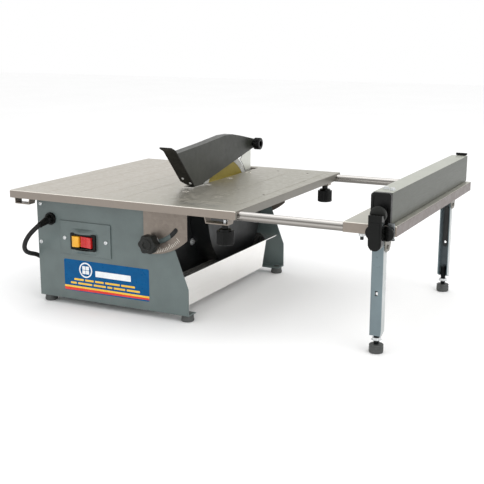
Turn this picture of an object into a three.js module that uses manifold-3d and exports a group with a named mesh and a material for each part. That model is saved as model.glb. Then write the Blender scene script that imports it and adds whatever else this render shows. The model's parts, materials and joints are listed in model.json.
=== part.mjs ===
// Portable tile saw: a folded sheet table that tilts about the blade line, an extension table
// on two sliding rods, a box fence, two folding legs and a direct drive motor in the base.
// Millimetres, +Z up. While it is built, zero is the front left top corner of the main table,
// +X runs right along its front edge and +Y runs back. The last step stands the saw on z = 0
// with the middle of its outline, cord apart, over the origin.
import * as THREE from "three";
import { mergeVertices } from "three/addons/utils/BufferGeometryUtils.js";
import Module from "manifold-3d";

const wasm = await Module();
wasm.setup();

// ---- driving dimensions ----
const GAP = 0.3; // running gap between pieces that touch
const FLOOR = -184.6;
const SHEET = 1.5; // plain sheet metal
const TABLE = { width: 400, depth: 405, lip: 12.2 };
const SLOT = { left: 229, right: 247, front: 150, back: 388 };
const PIVOT = { x: 242, z: -7.5, ear: 5.2, pin: 2.5 };
const PANEL = { left: 28.8, right: 305.6, bottom: -174.6, top: -2.3, front: 30, back: 375 };
const FLANGE = 23; // inward bottom flange of each end panel
const DIVIDER_X = 226;
const BLADE = { x: 240.5, y: 272, z: -52, radius: 90, core: 79.5, rim: 2.4, plate: 1.8 };
const BORE = 8.2; // clearance radius on the 5/8 inch spindle
const COVER = { left: 227.8, right: 262, radius: 100, top: -38, bottom: -134 };
const GUARD = { left: 233, right: 249, sheet: 1.2, pivotY: 363, pivotZ: 47.5 };
const ROD = { radius: 6.5, front: 14, back: 391, z: -8.5, left: 200, right: 584 };
const BRACKET = { half: 18, foot: 10, side: 5, bottom: -22.5, left: 20, right: 367, depth: 15 };
const LOCK_X = 377;
const EXTENSION = { left: 556, right: 630, front: 5.5, back: 406, lip: 14 };
const LEG = { left: 589, right: 606, depth: 13.5, top: -22, bottom: -159.6, pivot: -36 };
const LEG_FRONT = 30; // outer face of the front leg's web
const LEG_BACK = 388; // outer face of the rear leg's web
const FENCE = { left: 594.7, right: 621, front: 12, back: 410, top: 42, wall: 2 };
const LEVER = { x: 609, z: 15.7 };
const WING = { x: 610, z: -9.5, reach: 19.5, lobe: 8.5 };
const BEVEL = { radius: 93, centre: 10, slotRadius: 57.5, slotHalf: 3.5, first: 7, last: 52 };
const TRAY = { left: 231.5, right: 295, front: 35, corner: 323, back: 368.5, rim: -116, floor: -163 };
const TRAY_LEFT_RIM = -139;
const SWITCH = { left: 96, right: 144, top: -64, bottom: -91 };
const GLAND = { x: 55.7, z: -46.4 };
const CORD = { radius: 3.7, coilX: 70, coilY: 432, inner: 34.2, outer: 49.8, height: 22.5 };
const DEGREE = Math.PI / 180;

// ---- finishes ----
const finish = (color, roughness, metalness) =>
  new THREE.MeshStandardMaterial({ color, roughness, metalness });
const paint = finish("#66767a", 0.45, 0.1);
const galvanised = finish("#bdb8ab", 0.45, 0.8);
const bright = finish("#cfd0c8", 0.35, 0.7);
const zinc = finish("#b9bcc0", 0.35, 0.9);
const chrome = finish("#d8d8d6", 0.12, 1);
const steel = finish("#8d8f90", 0.4, 0.9);
const aluminium = finish("#8d9085", 0.4, 0.8);
const guardPaint = finish("#4b4c48", 0.5, 0.2);
const black = finish("#1b1b1b", 0.5, 0);
const rubber = finish("#2a2927", 0.8, 0);
const motorPaint = finish("#303234", 0.6, 0.3);
const copper = finish("#9c5a33", 0.5, 0.6);
const blade = finish("#9a8a3c", 0.4, 0.6);
const red = finish("#c0282a", 0.4, 0);
const yellow = finish("#eab030", 0.4, 0);

// ---- solid making ----
function signedVolume(position, index) {
  const [a, b, c] = [new THREE.Vector3(), new THREE.Vector3(), new THREE.Vector3()];
  let volume = 0;
  for (let i = 0; i < index.count; i += 3) {
    a.fromBufferAttribute(position, index.getX(i));
    b.fromBufferAttribute(position, index.getX(i + 1));
    c.fromBufferAttribute(position, index.getX(i + 2));
    volume += a.dot(b.cross(c));
  }
  return volume;
}

// A three.js geometry as a closed solid, turned face outward if its faces point in.
function solid(geometry) {
  geometry.deleteAttribute("normal");
  geometry.deleteAttribute("uv");
  const merged = mergeVertices(geometry, 1e-4);
  const triVerts = Uint32Array.from(merged.index.array);
  if (signedVolume(merged.attributes.position, merged.index) < 0) triVerts.reverse();
  const vertProperties = Float32Array.from(merged.attributes.position.array);
  return new wasm.Manifold(new wasm.Mesh({ numProp: 3, vertProperties, triVerts }));
}

function part(group, name, shape, material) {
  const found = shape.getMesh();
  const geometry = new THREE.BufferGeometry();
  geometry.setAttribute("position", new THREE.BufferAttribute(found.vertProperties, 3));
  geometry.setIndex(new THREE.BufferAttribute(found.triVerts, 1));
  const mesh = new THREE.Mesh(geometry, material);
  mesh.name = name;
  group.add(mesh);
  return mesh;
}

function block(x0, x1, y0, y1, z0, z1) {
  const box = new THREE.BoxGeometry(x1 - x0, y1 - y0, z1 - z0);
  return solid(box.translate((x0 + x1) / 2, (y0 + y1) / 2, (z0 + z1) / 2));
}

// Round bar along an axis. The other two coordinates of its centre follow in x, y, z order.
function bar(axis, radius, from, to, u, v, sides = 20) {
  const geometry = new THREE.CylinderGeometry(radius, radius, to - from, sides);
  const middle = (from + to) / 2;
  if (axis === "x") geometry.rotateZ(-Math.PI / 2).translate(middle, u, v);
  if (axis === "y") geometry.translate(u, middle, v);
  if (axis === "z") geometry.rotateX(Math.PI / 2).translate(u, v, middle);
  return solid(geometry);
}

// Outline extruded along an axis. Its points are (y, z), (x, z) or (x, y) for x, y or z.
function plate(outline, axis, from, to, curveSegments = 12) {
  const shape = Array.isArray(outline)
    ? new THREE.Shape(outline.map(([u, v]) => new THREE.Vector2(u, v)))
    : outline;
  const options = { depth: to - from, bevelEnabled: false, curveSegments };
  const geometry = new THREE.ExtrudeGeometry(shape, options);
  const turn = new THREE.Matrix4();
  if (axis === "x") turn.set(0, 0, 1, from, 1, 0, 0, 0, 0, 1, 0, 0, 0, 0, 0, 1);
  if (axis === "y") turn.set(1, 0, 0, 0, 0, 0, -1, to, 0, 1, 0, 0, 0, 0, 0, 1);
  if (axis === "z") turn.makeTranslation(0, 0, from);
  return solid(geometry.applyMatrix4(turn));
}

// Turned piece: profile points are (distance along the axis, radius), closed on the axis or on
// themselves. u and v place the axis as in bar().
function turned(axis, profile, u, v, sides = 20) {
  const points = profile.map(([along, radius]) => new THREE.Vector2(radius, along));
  const geometry = new THREE.LatheGeometry(points, sides);
  if (axis === "x") geometry.rotateZ(-Math.PI / 2).translate(0, u, v);
  if (axis === "y") geometry.translate(u, 0, v);
  if (axis === "z") geometry.rotateX(Math.PI / 2).translate(u, v, 0);
  return solid(geometry);
}

// Outline of a bent strip: the given polyline is one face, the other lies a thickness to its left.
function strip(points, thickness) {
  const line = points.map(([u, v]) => new THREE.Vector2(u, v));
  const normal = (i) => {
    const along = line[i + 1].clone().sub(line[i]).normalize();
    return new THREE.Vector2(-along.y, along.x);
  };
  const other = line.map((point, i) => {
    const before = normal(Math.max(i - 1, 0));
    const after = normal(Math.min(i, line.length - 2));
    const mean = before.clone().add(after).normalize();
    return point.clone().addScaledVector(mean, thickness / mean.dot(before));
  });
  return [...line, ...other.reverse()].map((point) => [point.x, point.y]);
}

// Closed lobed outline around a centre, as moulded clamp knobs have.
function lobes(x, z, radius, depth, count) {
  const steps = count * 5;
  return Array.from({ length: steps }, (_, i) => {
    const angle = (i / steps) * 2 * Math.PI;
    const reach = radius - (depth / 2) * (1 - Math.cos(count * angle));
    return [x + reach * Math.cos(angle), z + reach * Math.sin(angle)];
  });
}

const union = (...pieces) => pieces.reduce((whole, piece) => whole.add(piece));
const cut = (whole, ...tools) => tools.reduce((rest, tool) => rest.subtract(tool), whole);
const polar = (x, z, radius, degrees) => [
  x + radius * Math.sin(degrees * DEGREE),
  z - radius * Math.cos(degrees * DEGREE),
];

// ---- base ----
function panelOutline() {
  const { left, right, bottom, top } = PANEL;
  const step = PIVOT.ear * Math.SQRT1_2;
  const ear = (x, z) => [PIVOT.x + x, PIVOT.z + z];
  return [
    [left, bottom],
    [right, bottom],
    [right, -133],
    [263, -21.1],
    ear(step, step),
    ear(PIVOT.ear * 0.38, PIVOT.ear * 0.92),
    ear(0, PIVOT.ear),
    [left, top],
  ];
}

// The end panels carry the pivots, the bevel knobs and the feet. The rear one is the front one's
// mirror image, without the switch and the cord.
function endPanel(group, name, face, inward) {
  const inner = face + inward * SHEET;
  const edge = face + inward * FLANGE;
  const [low, high] = [Math.min(face, inner), Math.max(face, inner)];
  const flangeRange = [Math.min(face, edge), Math.max(face, edge)];
  const { left, right, bottom } = PANEL;
  let shape = union(
    plate(panelOutline(), "y", low, high),
    block(left, right, ...flangeRange, bottom, bottom + SHEET)
  );
  const [studX, studZ] = polar(PIVOT.x, PIVOT.z, BEVEL.slotRadius, BEVEL.first);
  shape = cut(
    shape,
    bar("y", PIVOT.pin + 0.06, low - 1, high + 1, PIVOT.x, PIVOT.z),
    bar("y", 3.3, low - 1, high + 1, studX, studZ)
  );
  for (const x of [40, 297]) {
    shape = cut(shape, bar("z", 3.3, bottom - 1, bottom + 3, x, face + inward * 12));
  }
  if (name === "front_panel") {
    shape = cut(
      shape,
      bar("y", 7, low - 1, high + 1, GLAND.x, GLAND.z),
      block(SWITCH.left + 1.5, SWITCH.right - 1.5, low - 1, high + 1, SWITCH.bottom + 1.5, -65.5)
    );
  }
  part(group, name, shape, paint);
}

function baseBody(group) {
  endPanel(group, "front_panel", PANEL.front, 1);
  endPanel(group, "rear_panel", PANEL.back, -1);
  const [front, back] = [PANEL.front + SHEET + GAP, PANEL.back - SHEET - GAP];
  const low = PANEL.bottom + SHEET + GAP;
  part(group, "left_cover", block(PANEL.left, PANEL.left + SHEET, front, back, low, -6), paint);
  const hole = bar("x", 26, DIVIDER_X - 1, DIVIDER_X + 3, BLADE.y, BLADE.z, 40);
  const wall = block(DIVIDER_X, DIVIDER_X + SHEET, front, back, low, -8);
  part(group, "divider_wall", cut(wall, hole), black);
  for (const [name, y] of [["front", PANEL.front + 12], ["rear", PANEL.back - 12]]) {
    for (const [side, x] of [["left", 40], ["right", 297]]) {
      part(group, `base_foot_${name}_${side}`, rubberFoot(x, y), rubber);
    }
  }
}

// Push-in rubber foot: the pad stands on the floor and its neck snaps through the flange.
function rubberFoot(x, y) {
  const low = PANEL.bottom - GAP;
  const high = PANEL.bottom + SHEET + GAP;
  const profile = [
    [FLOOR, 0], [FLOOR, 9], [FLOOR + 1, 10], [low, 9.2], [low, 3], [high, 3],
    [high, 5], [high + 1.1, 4], [high + 1.3, 0],
  ];
  return turned("z", profile, x, y, 16);
}

function pivotPins(group) {
  const head = 3.8;
  for (const [name, face, out] of [["front", PANEL.front, -1], ["rear", PANEL.back, 1]]) {
    const at = (distance) => face + out * distance;
    const profile = [
      [at(-5), 0], [at(-5), PIVOT.pin], [at(3.3), PIVOT.pin], [at(3.3), head],
      [at(5), head], [at(5.6), head - 0.8], [at(5.6), 0],
    ];
    part(group, `pivot_pin_${name}`, turned("y", profile, PIVOT.x, PIVOT.z), zinc);
  }
}

// Clamp knob of the bevel lock: washer, lobed grip and the stud through slot and panel.
function bevelKnob(group, name, face, out) {
  const [x, z] = polar(PIVOT.x, PIVOT.z, BEVEL.slotRadius, BEVEL.first);
  const at = (distance) => face + out * distance;
  const profile = [
    [at(-3.2), 0], [at(-3.2), 3], [at(3.3), 3], [at(3.3), 8.5], [at(5), 8.5],
    [at(5), 6.5], [at(9.5), 6.5], [at(9.5), 0],
  ];
  const grip = [at(9), at(25)].sort((a, b) => a - b);
  const nose = [[at(24), 0], [at(24), 8], [at(27), 6], [at(27), 0]];
  const shape = union(
    turned("y", profile, x, z),
    plate(lobes(x, z, 15, 2.2, 6), "y", ...grip),
    turned("y", nose, x, z, 16)
  );
  part(group, name, shape, black);
}

// ---- motor and blade ----
function motor(group) {
  const { y, z } = BLADE;
  const end = DIVIDER_X - GAP;
  const shell = [
    [92, 41], [92, 44], [end, 44], [end, 12.3], [end - 8, 12.3], [end - 8, 36], [end - 12, 41],
  ];
  const feet = block(end - 4, end, y - 50, y + 50, z - 25, z + 25);
  const hollow = bar("x", 40, end - 30, end + 1, y, z, 32);
  const casting = union(turned("x", [...shell, shell[0]], y, z, 32), cut(feet, hollow));
  part(group, "motor_housing", casting, motorPaint);
  const cap = [[62, 0], [62, 30], [66, 37], [80, 40.6], [96, 40.6], [96, 37], [84, 37], [84, 0]];
  part(group, "motor_end_cap", turned("x", cap, y, z, 24), motorPaint);
  const stator = [[118, 27], [118, 40.6], [190, 40.6], [190, 27], [118, 27]];
  part(group, "motor_stator", turned("x", stator, y, z, 24), copper);
  const race = [[end - 8, 8.5], [end - 8, 12], [end, 12], [end, 8.5], [end - 8, 8.5]];
  part(group, "spindle_bearing", turned("x", race, y, z), steel);
}

function bladeSet(group) {
  const { x, y, z } = BLADE;
  const shaft = [
    [100, 0], [100, 6], [116, 6], [116, 8.15], [257, 8.15], [258, 7.4], [258, 0],
  ];
  const ring = (from, to, inner, outer) =>
    [[from, inner], [from, outer], [to, outer], [to, inner], [from, inner]];
  part(group, "spindle", turned("x", shaft, y, z), steel);
  part(group, "motor_rotor", turned("x", ring(118, 190, BORE, 26), y, z), steel);
  part(group, "inner_flange", turned("x", ring(229, 239.2, BORE, 21), y, z), steel);
  const dish = [[241.9, BORE], [241.9, 21], [244, 21], [246.5, 16], [246.5, BORE], [241.9, BORE]];
  part(group, "outer_flange", turned("x", dish, y, z), steel);
  const hexagon = Array.from({ length: 6 }, (_, i) => {
    const angle = (i + 0.5) * 60 * DEGREE;
    return [y + 13.8 * Math.cos(angle), z + 13.8 * Math.sin(angle)];
  });
  const nut = cut(plate(hexagon, "x", 246.8, 256), bar("x", BORE, 245, 258, y, z));
  part(group, "arbor_nut", nut, zinc);
  part(group, "blade", bladeDisc(x, y, z), blade);
}

// Segmented diamond blade: thin core, thicker rim, twelve narrow gullets through the rim.
function bladeDisc(x, y, z) {
  const [rim, core] = [BLADE.rim / 2, BLADE.plate / 2];
  const profile = [
    [x - core, BORE], [x - core, BLADE.core], [x - rim, BLADE.core], [x - rim, BLADE.radius],
    [x + rim, BLADE.radius], [x + rim, BLADE.core], [x + core, BLADE.core], [x + core, BORE],
    [x - core, BORE],
  ];
  let disc = turned("x", profile, 0, 0, 60);
  const gullets = 12;
  for (let i = 0; i < gullets; i++) {
    const gullet = block(x - 2, x + 2, -1, 1, BLADE.core + 1, BLADE.radius + 2);
    disc = cut(disc, gullet.rotate([(i * 360) / gullets, 0, 0]));
  }
  return disc.translate([0, y, z]);
}

// Splash housing beside the blade, open below into the tray and towards the divider.
function bladeCover(group) {
  const { y, z } = BLADE;
  const { left, right, radius, top, bottom } = COVER;
  const drum = bar("x", radius, left, right, y, z, 48);
  const hollow = bar("x", radius - SHEET, left - 1, right - SHEET, y, z, 48);
  const above = block(left - 2, right + 1, y - 120, y + 120, top, 60);
  const below = block(left - 2, right + 1, y - 120, y + 120, -200, bottom);
  part(group, "blade_cover", cut(drum, hollow, above, below), motorPaint);
}

// Riving knife: a thin plate close behind the blade, on a lug from the divider.
function rivingKnife(group) {
  const { y, z } = BLADE;
  const { pivotY, pivotZ } = GUARD;
  const rear = pivotY + 6;
  const blank = plate(
    [[y + 60, -60], [rear - 0.5, -60], [rear, pivotZ], [pivotY + 4.2, pivotZ + 4.2],
     [pivotY, pivotZ + 6], [pivotY - 4.2, pivotZ + 4.2], [pivotY - 30, pivotZ - 22], [y + 40, 20]],
    "x", 239.8, 241.2
  );
  const clearance = bar("x", BLADE.radius + 3, 230, 250, y, z, 60);
  const hole = bar("x", 3.3, 230, 250, pivotY, pivotZ);
  const rearPart = block(230, 250, y + 55, rear + 1, -61, 70);
  const lug = block(DIVIDER_X + SHEET + GAP, 240.5, y + 94, rear - 1, -58, -46);
  const knife = union(cut(blank.intersect(rearPart), clearance, hole), lug);
  part(group, "riving_knife", knife, bright);
}

// ---- blade guard ----
const GUARD_SIDE = [
  [98, 60], [152.6, 1], [173, 1], [300, 27], [350, 37], [372, 41], [377, 47], [374, 54],
  [315, 66], [284, 71.5], [256, 72.2], [186, 66],
];

function bladeGuard(group) {
  const { left, right, sheet, pivotY, pivotZ } = GUARD;
  const outer = plate(GUARD_SIDE, "x", left, right);
  const inside = [
    [80, 58.8], [152.6, -20], [400, -20], [400, 47], [375, 52.6], [315, 64.8], [284, 70.3],
    [256, 71], [186, 64.8], [98, 58.8],
  ];
  const hollow = plate(inside, "x", left + sheet, right - sheet);
  const leftSkirt = block(left - 1, left + sheet + 0.5, 90, 400, -10, 15);
  const hole = bar("x", 3.3, left - 5, right + 5, pivotY, pivotZ);
  part(group, "guard_shell", cut(outer, hollow, leftSkirt, hole), guardPaint);
  part(group, "guard_flap", guardFlap(), rubber);
}

// Flap across the guard's mouth: it leans forward with the skirts' front edges, its head is bent
// level and its left foot is cut away.
function guardFlap() {
  const lean = strip([[148.1, 3.1], [92.5, 63.3], [81, 68.4]], 2.6);
  const blank = plate(lean, "x", 228, 249.4);
  const corner = plate([[226, -2], [238, -2], [238, 1.2], [228, 6.6], [226, 6.6]], "y", 60, 160);
  return cut(blank, corner);
}

function guardKnob(group) {
  const { left, right, pivotY, pivotZ } = GUARD;
  const profile = [
    [left - 3.5, 0], [left - 3.5, 5], [left - GAP, 5], [left - GAP, 3], [right + GAP, 3],
    [right + GAP, 5.5], [right + 3, 5.5], [right + 4, 9.5], [right + 5.5, 10.5],
    [right + 14, 10.5], [right + 15.5, 9], [right + 15.5, 0],
  ];
  part(group, "guard_knob", turned("x", profile, pivotY, pivotZ), black);
}

// ---- main table ----
function foldedTop(left, right, front, back, lip) {
  const outer = block(left, right, front, back, -lip, 0);
  const under = block(
    left + SHEET, right - SHEET, front + SHEET, back - SHEET, -lip - 1, -SHEET
  );
  return cut(outer, under);
}

function tableTop(group) {
  const { width, depth, lip } = TABLE;
  let shape = foldedTop(0, width, 0, depth, lip);
  shape = cut(shape, block(SLOT.left, SLOT.right, SLOT.front, SLOT.back, -3, 1));
  for (const y of [ROD.front, ROD.back]) {
    const notch = ROD.radius + 1.2;
    shape = cut(shape, block(width - 3, width + 1, y - notch, y + notch, -lip - 1, -SHEET));
  }
  const drains = [[257, 110], [257, 183], [257, 258], [257, 328]];
  for (const [x, y] of drains) {
    shape = cut(shape, bar("z", 3.2, -3, 1, x, y, 16));
  }
  const holes = [[377, 140], [295, 369.5], [353, 367], [380.5, 285]];
  for (const [x, y] of holes) {
    shape = cut(shape, bar("z", 2.4, -3, 1, x, y, 12));
  }
  part(group, "table_top", shape, galvanised);
}

// Bevel quadrant under each end of the table, with its curved slot and a flange for the screws.
function bevelBracket(group, name, face, out) {
  const { x, z } = PIVOT;
  const { radius, centre, slotRadius, slotHalf, first, last } = BEVEL;
  const top = -SHEET - GAP;
  const [leftEdge, rightEdge] = [231, 306];
  const startAngle = -Math.asin((x - leftEdge) / radius);
  const endAngle = Math.asin((rightEdge - x) / radius);
  const outline = new THREE.Shape();
  outline.moveTo(rightEdge, top);
  outline.lineTo(leftEdge, top);
  outline.lineTo(leftEdge, centre - radius * Math.cos(startAngle));
  outline.absarc(x, centre, radius, startAngle - Math.PI / 2, endAngle - Math.PI / 2, false);
  outline.closePath();
  const slot = new THREE.Path();
  const [from, to] = [first * DEGREE - Math.PI / 2, last * DEGREE - Math.PI / 2];
  const [fromX, fromZ] = polar(x, z, slotRadius, first);
  const [toX, toZ] = polar(x, z, slotRadius, last);
  slot.absarc(x, z, slotRadius + slotHalf, from, to, false);
  slot.absarc(toX, toZ, slotHalf, to, to + Math.PI, false);
  slot.absarc(x, z, slotRadius - slotHalf, to, from, true);
  slot.absarc(fromX, fromZ, slotHalf, from + Math.PI, from + 2 * Math.PI, false);
  outline.holes.push(slot);
  const near = face + out * 1.3;
  const far = near + out * 1.7;
  const lap = near + out * 6.4;
  const sorted = (a, b) => [Math.min(a, b), Math.max(a, b)];
  const shape = cut(
    union(
      plate(outline, "y", ...sorted(near, far), 10),
      block(leftEdge, rightEdge, ...sorted(near, lap), top - SHEET, top)
    ),
    bar("y", PIVOT.pin + 0.06, face - 5, face + 5, x, z)
  );
  part(group, name, shape, galvanised);
}

// Hat section strap under the table that a rod slides through. The right hand one has two feet
// and a knob that locks the rod from below, the left hand one stands against the table's lip.
function rodBracket(group, name, x, y, lock) {
  const { half, foot, side, bottom, depth } = BRACKET;
  const top = -SHEET - GAP;
  const corners = lock
    ? [
        [x + half + side + foot, top - SHEET], [x + half + side, top - SHEET],
        [x + half, bottom], [x - half, bottom], [x - half - side, top - SHEET],
        [x - half - side - foot, top - SHEET],
      ]
    : [
        [x + 25, top - SHEET], [x + 17, top - SHEET], [x + 12, bottom], [x - 15, bottom],
        [x - 16.5, top],
      ];
  const hat = strip(corners, -SHEET);
  let shape = plate(hat, "y", y - depth / 2, y + depth / 2);
  shape = cut(shape, bar("x", ROD.radius + 0.06, x - 60, x + 60, y, ROD.z));
  if (lock) shape = cut(shape, bar("z", 3.3, bottom - 1, bottom + 3, LOCK_X, y));
  part(group, name, shape, galvanised);
}

// Knurled knob under the strap. The screw's tip stops just short of the rod.
function rodLockKnob(group, name, y) {
  const tip = ROD.z - ROD.radius - GAP;
  const shank = [[-51.5, 0], [-51.5, 11.5], [-50.5, 12.5], [-31.5, 12.5], [-29, 9], [-28, 5],
    [BRACKET.bottom - GAP, 5], [BRACKET.bottom - GAP, 3], [tip, 3], [tip, 0]];
  part(group, name, turned("z", shank, LOCK_X, y), black);
}

// ---- extension table and its legs ----
function extension(group) {
  const { left, right, front, back, lip } = EXTENSION;
  let shape = foldedTop(left, right, front, back, lip);
  for (const y of [ROD.front, ROD.back]) {
    shape = cut(shape, bar("x", ROD.radius + GAP, left - 1, left + 3, y, ROD.z));
  }
  part(group, "extension_table", shape, galvanised);
  for (const [name, y] of [["front", ROD.front], ["rear", ROD.back]]) {
    part(group, `rod_${name}`, bar("x", ROD.radius, ROD.left, ROD.right, y, ROD.z), chrome);
  }
}

// Folding leg and its parts, drawn for the front. The rear one is turned half round.
function legBracketShape() {
  const top = -SHEET - GAP;
  const low = top - SHEET;
  const ear = [
    [28, top], [28, -30], [32, -42], [44, -42], [48, -38], [57, -18], [57, top],
  ];
  const [outLeft, outRight] = [LEG.left - 3, LEG.right + 3];
  const pins = bar("x", 3, outLeft - 1.5, LEG.left + 0.8, 38, LEG.pivot, 20).add(
    bar("x", 3, LEG.right - 0.8, outRight + 1.5, 38, LEG.pivot, 20)
  );
  return union(
    plate(ear, "x", outLeft, outLeft + SHEET),
    plate(ear, "x", outRight - SHEET, outRight),
    block(outLeft, outRight, 28, 57, low, top),
    pins
  );
}

function legShape() {
  const { left, right, depth, top, bottom, pivot } = LEG;
  const back = LEG_FRONT + depth;
  const side = [
    [LEG_FRONT, top - 2], [LEG_FRONT + 2, top], [back - 2, top], [back, top - 4],
    [back, bottom + 5], [LEG_FRONT + 3, bottom], [LEG_FRONT, bottom],
  ];
  const blank = plate(side, "x", left, right);
  const channel = block(
    left + SHEET, right - SHEET, LEG_FRONT + SHEET, back + 1, bottom + SHEET, top + 1
  );
  const middle = (left + right) / 2;
  const slot = block(middle - 2, middle + 2, 29, 33, -103.5, -96.5);
  const stem = bar("z", 4.3, bottom - 1, bottom + 3, middle, 37, 20);
  const hinge = bar("x", 3.06, left - 1, right + 1, 38, pivot, 20);
  return cut(blank, channel, slot, stem, hinge);
}

function legFootShape() {
  const middle = (LEG.left + LEG.right) / 2;
  const profile = [
    [FLOOR, 0], [FLOOR, 9], [FLOOR + 1.2, 10], [FLOOR + 11, 10], [FLOOR + 12, 9],
    [FLOOR + 12, 4], [LEG.bottom + 16, 4], [LEG.bottom + 17, 3.2], [LEG.bottom + 17, 0],
  ];
  return turned("z", profile, middle, 37);
}

function legs(group) {
  const mirror = (shape) => shape.translate([0, -(LEG_FRONT + LEG_BACK) / 2, 0])
    .mirror([0, 1, 0]).translate([0, (LEG_FRONT + LEG_BACK) / 2, 0]);
  for (const [name, place] of [["front", (shape) => shape], ["rear", mirror]]) {
    part(group, `leg_bracket_${name}`, place(legBracketShape()), galvanised);
    part(group, `leg_${name}`, place(legShape()), paint);
    part(group, `leg_foot_${name}`, place(legFootShape()), black);
  }
}

// ---- fence ----
function fence(group) {
  const { left, right, front, back, top, wall } = FENCE;
  const box = cut(
    block(left, right, front, back, GAP, top),
    block(left + wall, right - wall, front - 1, back + 1, GAP + wall, top - wall)
  );
  part(group, "fence_bar", box, aluminium);
  part(group, "fence_end_cap", endCap(), black);
  part(group, "fence_rear_hook", rearHook(), black);
  part(group, "fence_lever", fenceLever(), black);
  const clampPlate = union(
    block(597, 628, 2.6, 4.4, -19, 4),
    block(597, 628, 2.6, 7.5, -19, -17.2)
  );
  part(group, "fence_clamp", cut(clampPlate, bar("y", 2.9, 0, 6, WING.x, WING.z)), zinc);
  part(group, "fence_wing_knob", wingKnob(), black);
}

// Moulded cap on the near end, with rounded upper corners and a raised border.
function endCap() {
  const { left, right, front, top } = FENCE;
  const capTop = top + 0.4;
  const outline = new THREE.Shape();
  outline.moveTo(left - 0.4, 0.3);
  outline.lineTo(right + 0.4, 0.3);
  outline.lineTo(right + 0.4, capTop - 4);
  outline.quadraticCurveTo(right + 0.4, capTop, right - 3.6, capTop);
  outline.lineTo(left + 3.6, capTop);
  outline.quadraticCurveTo(left - 0.4, capTop, left - 0.4, capTop - 4);
  outline.closePath();
  const recess = plate(
    [[left + 3, 3], [right - 3, 3], [right - 3, top - 5], [right - 6, top - 3],
     [left + 6, top - 3], [left + 3, top - 5]],
    "y", 4, 6
  );
  const hole = bar("y", 3.4, 0, front + 1, LEVER.x, LEVER.z);
  return cut(plate(outline, "y", 4.7, front - GAP, 6), recess, hole);
}

// Hook over the far end of the extension, drawn up by the long tie rod inside the bar.
function rearHook() {
  const { back, top } = FENCE;
  const face = back + GAP;
  const stem = [
    [604, -18.5], [617, -18.5], [617, top], [619.5, top + 0.8], [619.5, top + 4],
    [601.5, top + 4], [601.5, top + 0.8], [604, top],
  ];
  return union(
    plate(stem, "y", face, face + 3),
    block(604, 617, 397.5, face + 2, -18.5, -16),
    bar("y", 3, 1, face + 2, LEVER.x, LEVER.z, 20)
  );
}

function fenceLever() {
  const { x, z } = LEVER;
  const profile = [
    [4.4, 3.4], [4.4, 5.5], [-5.5, 5.5], [-5.5, 11.3], [-8.5, 11.3], [-9.5, 9.8], [-9.5, 0],
    [0.5, 0], [0.5, 3.4], [4.4, 3.4],
  ];
  const grip = new THREE.Shape();
  grip.moveTo(x - 8, z + 1);
  grip.lineTo(x - 9, z - 36.5);
  grip.absarc(x, z - 36.5, 9, Math.PI, 2 * Math.PI, false);
  grip.lineTo(x + 8, z + 1);
  grip.closePath();
  return union(turned("y", profile, x, z), plate(grip, "y", -21, -8.6, 10));
}

function wingKnob() {
  const { x, z, reach, lobe } = WING;
  const wing = new THREE.Shape();
  wing.absarc(x - reach + lobe, z, lobe, Math.PI / 2, 1.5 * Math.PI, false);
  wing.lineTo(x, z - 5);
  wing.absarc(x + reach - lobe, z, lobe, -Math.PI / 2, Math.PI / 2, false);
  wing.lineTo(x, z + 5);
  wing.closePath();
  const stud = [[5.2, 0], [5.2, 2.5], [2.3, 2.5], [2.3, 8], [-1, 8], [-1, 0]];
  return union(plate(wing, "y", -4.6, 1.5, 8), turned("y", stud, x, z, 16));
}

// ---- tray ----
// Trough of bent sheet under the blade. In plan its far right corner is cut off, with a level
// flange over the cut. The left wall is low, so that it passes under the blade.
function waterTray(group) {
  const { left, right, front, corner, back, rim, floor } = TRAY;
  const cutX = 264;
  const plan = (inset, draft) => [
    [left + inset, front + inset], [right - inset, front + inset],
    [right - inset, corner - draft - inset / 2], [cutX - inset, back - draft - inset],
    [left + inset, back - draft - inset],
  ];
  const outer = loft(plan(0, 17), floor, plan(0, 0), rim);
  const inner = loft(plan(1.2, 17), floor + 1.2, plan(1.2, 0), rim + 0.01);
  const lower = block(left - 1, left + 3, front + 1.2, back + 1, TRAY_LEFT_RIM, rim + 1);
  const flange = plate([[right, corner - 1], [right, back], [cutX - 1, back]], "z", rim - 1.2, rim);
  part(group, "water_tray", union(cut(outer, inner, lower), flange), bright);
}

// Solid between a lower and an upper outline of as many points.
function loft(lower, low, upper, high) {
  const count = lower.length;
  const vertices = [...lower.map(([x, y]) => [x, y, low]), ...upper.map(([x, y]) => [x, y, high])];
  const faces = [];
  for (let i = 0; i < count; i++) {
    const next = (i + 1) % count;
    faces.push(i, next, count + next, i, count + next, count + i);
  }
  for (let i = 1; i < count - 1; i++) {
    faces.push(0, i + 1, i, count, count + i, count + i + 1);
  }
  const geometry = new THREE.BufferGeometry();
  geometry.setAttribute("position", new THREE.Float32BufferAttribute(vertices.flat(), 3));
  geometry.setIndex(faces);
  return solid(geometry);
}

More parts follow.
